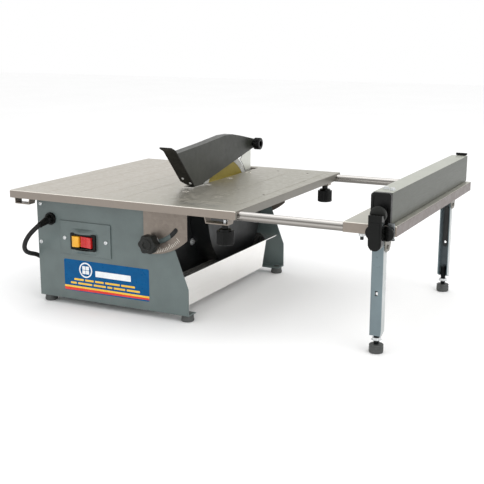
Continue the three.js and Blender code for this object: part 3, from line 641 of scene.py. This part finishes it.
def smooth_step(value, start, end):
    """0 up to start, 1 from end on, and a smooth rise between."""
    t = min(max((value - start) / (end - start), 0), 1)
    return t * t * (3 - 2 * t)


def through(points, steps):
    """A smooth line through points, as centripetal Catmull-Rom stretches."""
    points = [Vector(p) for p in points]
    ends = [2 * points[0] - points[1], *points, 2 * points[-1] - points[-2]]
    line = []
    for a, b, c, d in zip(ends, ends[1:], ends[2:], ends[3:]):
        knots = [0.0]
        for p, q in ((a, b), (b, c), (c, d)):
            knots.append(knots[-1] + (q - p).length ** 0.5)
        k0, k1, k2, k3 = knots
        for i in range(steps):
            t = k1 + (k2 - k1) * i / steps
            ab = a.lerp(b, (t - k0) / (k1 - k0))
            bc = b.lerp(c, (t - k1) / (k2 - k1))
            cd = c.lerp(d, (t - k2) / (k3 - k2))
            low = ab.lerp(bc, (t - k0) / (k2 - k0))
            high = bc.lerp(cd, (t - k1) / (k3 - k1))
            line.append(low.lerp(high, (t - k1) / (k2 - k1)))
    return [*line, points[-1]]


def coil_point(angle):
    """Wide turn, narrow turns inside and above it, then wide again on top."""
    inward = smooth_step(angle, 270, 325) - smooth_step(angle, 900, 960)
    radius = WIDE_TURN - (WIDE_TURN - NARROW_TURN) * inward
    layers = smooth_step(angle, 570, 630) + smooth_step(angle, 1190, 1250)
    turn = math.radians(angle)
    x = COIL[0] - radius * math.cos(turn)
    return x, COIL[1] + radius * math.sin(turn), FLOOR + ON_BENCH + LAYER * layers


def lead_line():
    """Along the route, round the coil and off its top into the plug."""
    coil = [coil_point(angle) for angle in range(0, COIL_END + 1, 9)]
    off = [(80, 478.2, FLOOR + 17.8), (90, 478.2, FLOOR + 14), (99.5, 478.1, FLOOR + 13.02)]
    return through([*LEAD_ROUTE, *coil, *off, TAIL], 4)


def make_lead(plug):
    line = [at(*p) for p in lead_line()]
    data = bpy.data.curves.new("mains_lead", "CURVE")
    data.dimensions = "3D"
    data.bevel_depth = LEAD_RADIUS * MM
    data.bevel_resolution = 5
    data.use_fill_caps = True
    spline = data.splines.new("POLY")
    spline.points.add(len(line) - 1)
    for point, place in zip(spline.points, line):
        point.co = (*place, 1)
    spline.use_smooth = True
    data.materials.append(rubber)
    lead = placed("mains_lead", data)
    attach(lead, "base")
    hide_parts("power_cord", "cord_coil")


def make_plug():
    """A moulded body that broadens to a flat bottom, and three pins."""
    x, y, z = TAIL
    stations = [
        (0, 5.6, 5.6), (2, 6, 6), (9, 6.6, 6.6), (10, 7.4, 7.4), (12, 7.6, 7.6), (13, 7.4, 7.4),
        (15, 9.4, 8.4), (20, 12.6, 8.8), (29, 13.4, 9), (38, 13.8, 9), (42, 12, 8.2),
    ]
    rings = []
    for along, half, lift in stations:
        low = -lift if along < 15 else -min(13, lift + (along - 12) * 0.5)
        round_off = min(half, (lift - low) / 2) * (0.98 if along < 14 else 0.45)
        ring = rounded(y - half, y + half, z + low, z + lift, round_off, 6)
        rings.append([(x + along, *p) for p in ring])
    make("plug_body", skin(rings), rubber, "base", ["plug"], bevel=0.5, angle=40)
    flat_pins = []
    for side in (-1, 1):
        pin = y + side * 6.4
        flat_pins.append(box(x + 40, x + 60, pin - 0.8, pin + 0.8, z - 4, z + 2.5))
    pin = [(x + 40, 0), (x + 40, 2.4), (x + 60, 2.4), (x + 62, 1.2), (x + 62, 0)]
    pins = joined(*flat_pins, lathe("x", pin, y, z - 8, 24))
    make("plug_blades", pins, zinc, "base", bevel=0.3)
    return bpy.data.objects["plug_body"]


def make_gland():
    """A collar in the panel, and a ribbed boot that aims the lead down to the left."""
    x, z = GLAND
    collar = [(36, 0), (36, 6.5), (29.7, 6.5), (29.7, 10), (27, 10), (25.5, 9.2), (25.5, 0)]
    profile = [(-2, 0), (-2, 7), (2.5, 7)]
    for i in range(5):
        start, radius = 3.2 + i * 3.2, 6.6 - i * 0.42
        profile += [(start, radius), (start + 1.9, radius - 0.2)]
        profile += [(start + 2.2, radius - 1.2), (start + 2.9, radius - 1.3)]
    profile += [(19.4, 4.9), (21, 4.7), (21, 3.9), (18, 3.8), (18, 0)]
    boot = aimed(lathe("z", profile, 0, 0, 40), (x, 25.5, z), (-0.227, -0.912, -0.342))
    whole = joined(lathe("y", collar, x, z), boot)
    stands_for = ["cord_gland"]
    make("strain_relief", whole, gloss_black, "base", stands_for, bevel=0.25, angle=40)


make_lead(make_plug())
make_gland()


# ---- base ----
def set_out(profile, face, out):
    """A profile whose distances are out from an end panel's face, as places along Y."""
    return [(face + out * distance, radius) for distance, radius in profile]


def flange_edge(face, lift):
    """A test for the long edge of an end panel's bottom flange."""
    return lambda m, d: abs(d.x) > 0.9 and near(m.y, face) and near(m.z, PANEL_BOTTOM + lift)


def make_base():
    for name, face, out in END_PANELS:
        outside = (2.2, flange_edge(face, 0))
        inside = (0.8, flange_edge(face - out * PANEL_SHEET, PANEL_SHEET))
        bends, holes = (outside, inside), (GLAND[0], 120, TILT_PIVOT[0], 249)
        refined(f"{name}_end_panel", f"{name}_panel", paint, "base_paint", *bends, cuts=holes)
    carry(paint, "left_cover", "switch_plate")
    carry(dark_paint, "divider_wall", "blade_cover")
    carry(knife_metal, "riving_knife", bevel=0.2)
    carry(motor_paint, "motor_housing", "motor_end_cap", bevel=0.8)
    carry(copper, "motor_stator")
    carry(machined, "spindle_bearing", "spindle", "motor_rotor", "inner_flange", "outer_flange")
    carry(machined, "arbor_nut")
    low, high = PANEL_BOTTOM - 0.3, PANEL_BOTTOM + 1.8
    pad = [
        (FLOOR, 0), (FLOOR, 9), (FLOOR + 1, 10), (FLOOR + 4, 10), (FLOOR + 4.5, 9.4),
        (low - 0.5, 9.2), (low, 8.6), (low, 3), (high, 3), (high, 5),
        (high + 1.1, 4), (high + 1.3, 0),
    ]
    for end, y in (("front", 42), ("rear", 363)):
        for side, x in (("left", 40), ("right", 297)):
            foot = f"base_foot_{end}_{side}"
            turned = lathe("z", pad, x, y)
            make(foot + "_pad", turned, pad_rubber, "base", [foot], 0.3)
    shank = [(-5, 0), (-5, 2.2), (-4.7, 2.5), (3.3, 2.5)]
    head = [(3.3, 3.8), (4.6, 3.8), (5.3, 3), (5.6, 0)]
    for name, face, out in END_PANELS:
        rivet = lathe("y", set_out(shank + head, face, out), *TILT_PIVOT, 32)
        make(f"{name}_pivot_rivet", rivet, zinc, "base", [f"pivot_pin_{name}"])


def make_bevel_knobs():
    """Lobed knobs with a raised cap, each on a stud through its bevel quadrant's slot."""
    neck = [(3.3, 3), (3.3, 8.5), (5, 8.5), (5, 6.5), (9.5, 6.5), (9.5, 3)]
    cap = [(24, 0), (24, 9), (26.2, 8.6), (27, 7), (27, 5), (25.8, 4.5), (25.8, 0)]
    washer = [(3.1, 3), (3.1, 9.6), (4, 9.6), (4.2, 9.2), (4.2, 3)]
    stud = [(-3.2, 0), (-3.2, 2.6), (-2.8, 3), (4, 3), (4, 0)]
    grip = [(9, 13.8), (9.6, 14.6), (10.6, 15), (23.4, 15), (24.5, 14.5), (25, 13.5)]
    for name, face, out in END_PANELS:
        rings = []
        for place, radius in set_out(grip, face, out):
            ring = wavy(*BEVEL_KNOB, radius, 2.2, lobes=6, steps=96)
            rings.append([(u, place, v) for u, v in ring])
        turned = [lathe("y", set_out(part, face, out), *BEVEL_KNOB) for part in (neck, cap)]
        body, stands_for = f"{name}_bevel_knob", [f"bevel_knob_{name}"]
        knob = joined(skin(rings), *turned)
        make(body + "_grip", knob, knob_grey, body, stands_for, angle=40)
        for part, profile, sides in (("washer", washer, 48), ("stud", stud, 24)):
            turned = lathe("y", set_out(profile, face, out), *BEVEL_KNOB, sides)
            make(f"{body}_{part}", turned, zinc, body)


PLATE_FACE, PANEL_FACE = 28, 30  # of the switch plate and the front panel, along Y


def make_switch_hood(place, root, lip):
    """A lip pressed out of the switch plate, furthest out at its middle."""
    shoulder, inner = root + (lip - root) * 0.55, root + (lip - root) * 0.75
    within = PLATE_FACE + 0.1
    rings = []
    for i in range(21):
        x = 96 + 2.4 * i
        reach = 6.8 * (1 - ((x - 120) / 24.2) ** 2)
        out, bulge = PLATE_FACE - reach, PLATE_FACE - reach * 0.8
        ring = [(within, root), (bulge, shoulder), (out, lip), (out + 1, lip), (within, inner)]
        rings.append([(x, y, z) for y, z in ring])
    make(f"switch_hood_{place}", skin(rings), paint, "base", bevel=0.25, angle=40)


def make_switch():
    make_switch_hood("upper", -57.5, -65)
    make_switch_hood("lower", -98, -91)
    pocket = rounded(100, 138.5, -89.5, -68, 1)
    face = prism("y", rounded(96.5, 143.5, -91, -64, 2), 24.2, 25.6, [pocket])
    inside = rounded(100.4, 138.2, -88.9, -68.1, 0.4)
    wall = prism("y", rounded(98, 142, -89, -66, 1), 27.4, 56, [inside])
    whole = joined(face, wall, box(98.5, 141.5, 42, 55.5, -88.8, -66.4))
    make("switch_case", whole, gloss_black, "base", ["switch_housing"], 0.7, 3)
    red = [(115, 25), (120, 24.4), (126.5, 23.8), (132, 22.6), (137, 21)]
    red += [(137, 30), (130, 37), (122, 37), (115, 30)]
    bars = [box(119 + i * 3, 120 + i * 3, 23.9 - i * 0.3, 26, -84.5, -70.5) for i in range(4)]
    paddle = joined(prism("z", red, -86, -69), *bars)
    make("rocker_paddle", paddle, red_plastic, "rocker", ["switch_rocker"], 0.5, 3)
    yellow = [(100.7, 22), (104, 20.9), (107, 20.5), (110, 20.9), (113.5, 22)]
    yellow += [(113.5, 40), (100.7, 40)]
    tab = prism("z", yellow, -86, -69)
    make("safety_key", tab, yellow_plastic, "key", ["switch_key"], 0.7, 3)
    heads = [(82.8, -74.5, PLATE_FACE), (161, -75.1, PLATE_FACE)]
    heads += [(36.2, -23.8, PANEL_FACE), (34.5, -86, PANEL_FACE)]
    for i, (x, z, face) in enumerate(heads):
        screw(f"panel_screw_{i}", x, z, face)


FILM, INK = (29.8, 30), (29.68, 29.8)  # depths on the front panel, along Y


def make_label():
    """A generic label: film with two stripes, a ring round four tiles, a bar and rows of dashes."""
    left, right, top, low = 78, 237, -109, -160
    yellow = [(left, -151.5), (right, -151.5), (right, -154.5), (left, -154.5)]
    red = [(left, -154.6), (right, -154.6), (right, -157.4), (left + 1.5, low + 0.8)]
    red.append((left, low + 2.5))
    for name, outline, depths, material in (
        ("label_film", rounded(left, right, low, top, 2.5), FILM, label_blue),
        ("label_yellow_stripe", yellow, INK, label_yellow),
        ("label_red_stripe", red, INK, label_red),
    ):
        make(name, prism("y", outline, *depths), material, "base")
    x, z = 119.5, -124
    marks = [prism("y", circle(x, z, 12.4, 48), *INK, [circle(x, z, 10.2, 40)])]
    for i in range(2):
        for j in range(2):
            u, v = x - 6.4 + i * 6.8, z - 6.4 + j * 6.8
            marks.append(prism("y", rounded(u, u + 6, v, v + 6, 0.8), *INK))
    marks.append(prism("y", rounded(138, 204, -132.5, -123, 0.8), *INK))
    make("label_print", joined(*marks), label_white, "base")
    dashes = []
    rows = [(-140.6, (97, 118, 137, 156, 186, 214)), (-146.8, (90, 104, 134, 160, 172, 196, 223))]
    for z, edges in rows:
        for start, end in zip(edges, edges[1:]):
            dashes.append(prism("y", rounded(start, end - 3, z - 1.5, z + 1.5, 0.5), *INK))
    make("label_lines", joined(*dashes), label_yellow, "base")


make_base()
make_bevel_knobs()
make_switch()
make_label()


# ---- blade, guard and tray ----
def make_blade():
    core = prism("x", circle(*BLADE, 80, 96), 239.6, 241.4, [circle(*BLADE, 8.2, 32)])
    make("blade_disc", core, blade_core, "arbor", ["blade"])
    segments = []
    for i in range(12):
        start = i * 30 + 15
        outer = arc(*BLADE, 90, start + 0.64, start + 29.36, 14)
        inner = arc(*BLADE, 79.2, start + 29.3, start + 0.7, 14)
        segments.append(prism("x", outer + inner, 239.3, 241.7))
    make("blade_segments", joined(*segments), blade_rim, "arbor", bevel=0.25)


FLAP_LINE = [(148.1, 3.1), (92.5, 63.3), (81, 68.4)]  # y and z, from its free end to the shell
FLAP_SHEET = 2.6


def flap_rings():
    """Sections across the flap, whose left edge widens near the table."""
    front = []
    for (y0, z0), (y1, z1), steps in zip(FLAP_LINE, FLAP_LINE[1:], (10, 3)):
        for i in range(steps):
            front.append((y0 + (y1 - y0) * i / steps, z0 + (z1 - z0) * i / steps))
    front.append(FLAP_LINE[-1])
    rings = []
    for i, (y, z) in enumerate(front):
        y0, z0 = front[max(i - 1, 0)]
        y1, z1 = front[min(i + 1, len(front) - 1)]
        scale = FLAP_SHEET / math.hypot(y1 - y0, z1 - z0)
        back = (y + (z1 - z0) * scale, z - (y1 - y0) * scale)
        left = 228 + max(0, min(9, (9 - z) * 1.7))
        rings.append([(left, y, z), (249.4, y, z), (249.4, *back), (left, *back)])
    return rings


def make_guard():
    def skirt_edge(m, d):
        return (near(m.x, 233) or near(m.x, 249)) and abs(d.x) < 0.2 and m.z > 36

    bend = (1.6, skirt_edge)
    refined("guard_cover", "guard_shell", guard_paint, "guard_paint", bend, bevel=0.25)
    skirt = skin(flap_rings())
    flap = make("guard_apron", skirt, flap_rubber, "guard", ["guard_flap"], 0.3)
    (low_y, low_z), (top_y, top_z) = FLAP_LINE[:2]
    run, rise = low_y - top_y, top_z - low_z
    facing = Vector((0, -rise, -run)).normalized()
    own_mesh(flap)
    for i, (x, share) in enumerate([(236, 0.8), (245.5, 0.93)]):
        place = (x, top_y + run * share, top_z - rise * share)
        head = lathe("z", [(-0.4, 0), (-0.4, 2.2), (0.5, 2.2), (1.3, 1.2), (1.4, 0)], 0, 0, 20)
        rivet = make(f"flap_rivet_{i}", aimed(head, place, facing), zinc, "guard")
        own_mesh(rivet)


def make_guard_knob():
    """A knurled clamp knob and its screw through the shell."""
    y, z = 363, 47.5
    stem = [(229.5, 0), (229.5, 3), (230, 5), (232.7, 5), (232.7, 3)]
    stem += [(249.3, 3), (249.3, 5.5), (252, 5.5), (253, 8), (253, 0)]
    grip = prism("x", wavy(y, z, 10.5, 0.9, lobes=24, steps=192), 253, 264)
    cap = lathe("x", [(264, 0), (264, 9), (264.5, 7.6), (264.5, 6), (264, 5), (264, 0)], y, z)
    knob = joined(lathe("x", stem, y, z), grip, cap)
    body = "guard_clamp_knob"
    make("guard_knob_grip", knob, gloss_black, body, ["guard_knob"], 0.5, 3, 50)


def make_tray():
    def corner(m, d):
        return abs(d.z) > 0.7 and m.z < -116 and (m.y < 36 or m.x > 294 or m.x < 232)

    def floor_edge(m, d):
        return near(m.z, -163) and abs(d.z) < 0.3

    bends = [(1.1, corner), (1.1, floor_edge)]
    refined("tray_pan", "water_tray", tray_metal, "tray_steel", *bends, bevel=0.2)


make_blade()
make_guard()
make_guard_knob()
make_tray()


# ---- main table ----
def make_table():
    plate = refined("table_plate", "table_top", table_zinc, "galvanised", rim_bend(*TABLE))
    # painted shade on the plate's lips and sides, and a painted highlight on its front fold
    sheet_light_and_shade(plate, leg_bracket_and_shaded_side_zinc)
    ribs = [box(x - 1.5, x + 1.5, 25, 380, -0.5, 0.14) for x in (22, 66, 110, 154, 198)]
    for ends in ((319, 321, 60, 345), (379, 381, 50, 385), (262, 378, 49, 51)):
        ribs.append(box(*ends, -0.5, 0.25))
    make("table_ribs", joined(*ribs), table_zinc, "table", bevel=0.1)
    ticks = []
    for i in range(33):
        x = 298 + i * 2
        ticks.append(box(x - 0.25, x + 0.25, 27, 31 if i % 5 else 33, -0.3, 0.06))
        ticks.append(box(x - 0.25, x + 0.25, 18, 21 if i % 4 else 23, -0.3, 0.06))
    make("table_scale", joined(*ticks), machined, "table")
    rim = [(-0.4, 3.3), (0.1, 3.4), (0.35, 4), (0.3, 4.7), (-0.1, 5.4), (-0.4, 5.4), (-0.4, 3.3)]
    rims = [lathe("z", rim, 257, y, 32) for y in (110, 183, 258, 328)]
    # The rims take the bright fold copy of the zinc: a painted highlight.
    make("drain_rims", joined(*rims), fold_highlight_and_mark_zinc, "table")


SLOT_RADIUS, SLOT_HALF = 57.5, 3.5


def quadrant_slot():
    """The curved slot about the tilt pivot that the bevel knob's stud runs in."""
    first, last = -83, -38

    def round_end(angle, start):
        centre = arc(*TILT_PIVOT, SLOT_RADIUS, angle, angle, 1)[0]
        return arc(*centre, SLOT_HALF, start, start + 180, 8)[1:-1]

    outer = arc(*TILT_PIVOT, SLOT_RADIUS + SLOT_HALF, first, last, 30)
    inner = arc(*TILT_PIVOT, SLOT_RADIUS - SLOT_HALF, last, first, 30)
    return outer + round_end(last, last) + inner + round_end(first, first + 180)


def make_bevel_brackets():
    x, z = TILT_PIVOT
    left, right, top, radius = 231, 306, -1.8, 93
    for name, face, out in END_PANELS:
        close, far, lap = face + out * 1.3, face + out * 3, face + out * 7.7
        start = -90 - math.degrees(math.asin((x - left) / radius))
        end = -90 + math.degrees(math.asin((right - x) / radius))
        outline = [(right, top), (left, top)] + arc(x, 10, radius, start, end, 40)
        holes = [quadrant_slot(), circle(x, z, 2.6, 20)]
        plate = prism("y", outline, min(close, far), max(close, far), holes)
        flange = box(left, right, min(far, lap) - 0.4, max(far, lap), -3.3, top)
        title, stands_for = f"bevel_quadrant_{name}", [f"bevel_bracket_{name}"]
        whole = joined(plate, flange)
        make(title, whole, quadrant_zinc, "table", stands_for, 0.25)
        marks = []
        for step in range(19):
            turn = math.radians(-90 + 2.5 * step)
            along = Vector((math.cos(turn), math.sin(turn)))
            aside = Vector((-along.y, along.x)) * 0.3
            start = 69 if step % 6 else 66
            points = [along * start - aside, along * 73.5 - aside]
            points += [along * 73.5 + aside, along * start + aside]
            ink = sorted((far, far + out * 0.08))
            marks.append(prism("y", [(x + p.x, z + p.y) for p in points], *ink))
        make(title + "_marks", joined(*marks), fold_highlight_and_mark_zinc, "table")


def make_rod_brackets():
    names = [f"rod_bracket_{end}_{side}" for end in ("front", "rear") for side in ("left", "right")]
    carry(bracket_and_shaded_lip_zinc, *names, bevel=0.4)
    neck = [(-33, 0), (-33, 10), (-31.5, 10), (-29, 9), (-28, 5), (-22.8, 5), (-22.8, 0)]
    cap = [(-51.5, 0), (-51.5, 11), (-50.8, 12), (-50.8, 0)]
    shank = [(-25, 0), (-25, 3), (-15.9, 3), (-15.3, 2.4), (-15.3, 0)]
    for end, y in ROD_LINES:
        grip = prism("z", wavy(ROD_KNOB_X, y, 12.5, 0.9, lobes=30, steps=240), -50.9, -31.5)
        whole = joined(grip, lathe("z", cap, ROD_KNOB_X, y), lathe("z", neck, ROD_KNOB_X, y))
        body, stands_for = f"{end}_rod_knob", [f"rod_lock_knob_{end}"]
        make(body + "_grip", whole, gloss_black, body, stands_for, 0.3, 2, 50)
        make(body + "_screw", lathe("z", shank, ROD_KNOB_X, y, 24), zinc, body)


make_table()
make_bevel_brackets()
make_rod_brackets()


# ---- extension table, legs and fence ----
def make_extension():
    bend = rim_bend(*EXTENSION)
    rods = {"cuts": [y for _, y in ROD_LINES], "across": (0, 1, 0)}
    plate = refined("extension_plate", "extension_table", wing_zinc, "galvanised", bend, **rods)
    # painted shade on the plate's lips and sides, and a painted highlight on its front fold
    sheet_light_and_shade(plate, shaded_mauve_side_zinc)
    profile = [(200, 0), (200, 5.5), (201, 6.5), (583, 6.5), (584, 5.5), (584, 0)]
    for end, y in ROD_LINES:
        rod = lathe("x", profile, y, ROD_HEIGHT, 64)
        make(f"slide_rod_{end}", rod, chrome, "extension", [f"rod_{end}"])
    carry(leg_bracket_and_shaded_side_zinc, "leg_bracket_front", "leg_bracket_rear", bevel=0.3)
    x, y = 580.5, 14
    hex_bolt("extension_nut", "z", x, y, -19, -15, 4.6, "extension")
    stem = lathe("z", [(-24, 0), (-24, 2), (-23.6, 2.4), (-18.9, 2.4), (-18.9, 0)], x, y, 20)
    make("extension_screw", stem, dark_steel, "extension")


def leg_screw(y):
    """A threaded rod from inside the foot's pad up into the leg."""
    low, top = FLOOR + 11.5, LEG_BOTTOM + 17
    profile = [(low, 0)]
    z = low
    while z < top - 1.2:
        profile += [(z, 3.4), (z + 0.5, 4), (z + 1, 3.4)]
        z += 1
    return lathe("z", [*profile, (top, 3.0), (top, 0)], LEG_X, y, 32)


def make_legs():
    def outside_edge(m, d):
        on_web = near(m.y, 30) or near(m.y, 388)
        return abs(d.z) > 0.9 and on_web and (near(m.x, 589) or near(m.x, 606))

    foot = [
        (FLOOR, 0), (FLOOR, 9), (FLOOR + 0.8, 10), (FLOOR + 8, 10), (FLOOR + 8.6, 9.4),
        (FLOOR + 9.4, 9.4), (FLOOR + 10, 10), (FLOOR + 11, 10), (FLOOR + 12, 9), (FLOOR + 12, 0),
    ]
    bend = (FOLD_RADIUS, outside_edge)
    for end, y in LEG_LINES:
        leg = refined(f"{end}_folding_leg", f"leg_{end}", leg_paint, "base_paint", bend)
        # The lighter right flange is painted light, and the darker faces inside the channel are
        # painted shade.
        paint_light_and_shade(leg, lit_leg_side, lambda m, n: n.x > 0.7 and m.x > 605)
        paint_light_and_shade(leg, shaded_leg_inside, lambda m, n: 591 < m.x < 604 and abs(n.y) > 0.7 and 31 < m.y < 387)
        web = 1 if end == "rear" else -1
        inner = sorted((y + web * 2.6, y + web * 4))
        hole = circle(LEG_X, -101, 2.2, 20)
        # The strap's near-black paint is partly painted shade, for the dark inside of the leg's
        # channel.
        strap = prism("y", rounded(LEG_X - 4, LEG_X + 4, -109, -41, 3.8), *inner, [hole])
        make(f"{end}_leg_strap", strap, dark_paint, f"{end}_leg", bevel=0.2)
        body, stands_for = f"{end}_leg_foot", [f"leg_foot_{end}"]
        pad = lathe("z", foot, LEG_X, y)
        make(body + "_pad", pad, pad_rubber, body, stands_for, 0.25)
        make(body + "_screw", leg_screw(y), dark_steel, body)
        hex_bolt(body + "_nut", "z", LEG_X, y, FLOOR + 18, FLOOR + 21.5, 6.6, body, 7.2)


def make_fence():
    # The bar's sides take a darker copy of its metal, painted shade, and its top a lighter one,
    # painted light.
    bar = refined("fence_box", "fence_bar", shaded_fence_side, "fence_aluminium", bevel=0.5)
    paint_light_and_shade(bar, lit_fence_top, lambda m, n: n.z > 0.7 and m.z > 30)
    shape = [(597, -19), (628, -19), (628, 4), (619, 4), (619, -3), (597, -3)]
    upright = prism("y", shape, 2.6, 4.4, [circle(*FENCE_KNOB, 2.9, 24)])
    clamp = joined(upright, box(597, 628, 2.6, 7.5, -19, -17.2))
    make("clamp_plate", clamp, machined, "fence", ["fence_clamp"], 0.4)
    carry(matt_black, "fence_rear_hook", bevel=0.5)
    outer = [(594.3, 0.3), (621.4, 0.3)]
    outer += arc(617.2, 38.2, 4.2, 0, 90, 8) + arc(598.5, 38.2, 4.2, 90, 180, 8)
    mouth = [(597.7, 3), (618, 3), (618, 37), (615, 39), (600.7, 39), (597.7, 37)]
    front = prism("y", outer, 6, 11.7, [circle(*FENCE_LEVER, 3.4, 24)])
    cap = joined(front, prism("y", outer, 4.7, 6.3, [mouth]))
    make("fence_cap", cap, matt_black, "fence", ["fence_end_cap"], 1.1, 4)


def make_fence_controls():
    """The lock lever and its boss, the wing knob, and two bolts on top of the bar."""
    x, z = FENCE_LEVER
    grip = [(x - 9.2, z + 1)] + arc(x, z - 36.5, 9, 180, 360, 20) + [(x + 9.2, z + 1)]
    rim = [(x - 5.8, z - 8)] + arc(x, z - 36.5, 6.6, 180, 360, 16) + [(x + 5.8, z - 8)]
    handle = joined(prism("y", grip, -20, -8.6), prism("y", rim, -21, -19.8))
    body, stands_for = "fence_lock_lever", ["fence_lever"]
    make("lock_lever", handle, gloss_black, body, stands_for, 1.0, 3)
    hub = [(4.4, 3.4), (4.4, 5.5), (-5.5, 5.5), (-5.5, 11.3), (-8.5, 11.3)]
    hub += [(-9.5, 9.8), (-9.5, 0), (0.5, 0), (0.5, 3.4), (4.4, 3.4)]
    boss = lathe("y", hub, x, z)
    make("lever_boss", boss, knob_grey, body, bevel=0.4, segments=3)
    x, z = FENCE_KNOB
    outline = arc(x - 9.9, z, 9.6, 90, 270, 14) + [(x, z - 7.5)]
    outline += arc(x + 9.9, z, 9.6, -90, 90, 14) + [(x, z + 7.5)]
    stem = [(-1, 0), (-1, 8), (2.3, 8), (2.3, 2.5), (5.2, 2.5), (5.2, 0)]
    knob = joined(prism("y", outline, -4.6, 1.5), lathe("y", stem, x, z))
    make("wing_knob", knob, gloss_black, "fence_knob", ["fence_wing_knob"], 1.2, 3)
    hex_bolt("fence_bolt_left", "z", 603, 40, 41.9, 45, 3.4, "fence", 4.6)
    hex_bolt("fence_bolt_right", "z", 614, 33, 41.9, 45, 3.4, "fence", 4.6)


make_extension()
make_legs()
make_fence()
make_fence_controls()
hex_bolt("divider_bolt", "x", 178, -97, 227.6, 231, 4, "base", 6)


# ---- surroundings, in metres ----
def make_floor():
    mesh = bpy.data.meshes.new("floor")
    bm = bmesh.new()
    bmesh.ops.create_grid(bm, x_segments=2, y_segments=2, size=6)
    bm.to_mesh(mesh)
    bm.free()
    surface = Surface("floor_paper", Roughness=0.9)
    surface.shader.inputs["Specular IOR Level"].default_value = 0.05
    surface.shades(surface.noise(400, 2), "#fbfbfb", "#fdfdfd")
    mesh.materials.append(surface.material)
    floor = placed("floor", mesh)
    floor.location.z = -0.0004


def area_light(name, place, target, size, power):
    data = bpy.data.lights.new(name, "AREA")
    data.shape = "RECTANGLE"
    data.size, data.size_y = size
    data.energy = power
    light = placed(name, data)
    light.location = place
    aim = Vector(target) - Vector(place)
    light.rotation_euler = aim.to_track_quat("-Z", "Y").to_euler()


def make_lights():
    world = bpy.data.worlds.new("studio")
    bpy.context.scene.world = world
    world.use_nodes = True
    background = world.node_tree.nodes["Background"]
    background.inputs["Color"].default_value = (1, 1, 1, 1)
    background.inputs["Strength"].default_value = 1.0
    area_light("key", (1.6, -0.6, 1.9), (0, 0, 0.1), (1.4, 1.4), 12)
    area_light("overhead", (-0.3, 0.4, 2.2), (0, 0, 0.1), (1.8, 1.8), 8)
    area_light("fill", (-1.4, -1.8, 0.9), (0, 0, 0.1), (1.2, 1.2), 3)
    area_light("low fill", (1.5, -1.5, 0.35), (0.05, 0, 0.06), (0.9, 0.4), 7)


make_floor()
make_lights()
view = bpy.context.scene.view_settings
view.view_transform = "Standard"
view.look = "None"
view.exposure = 0
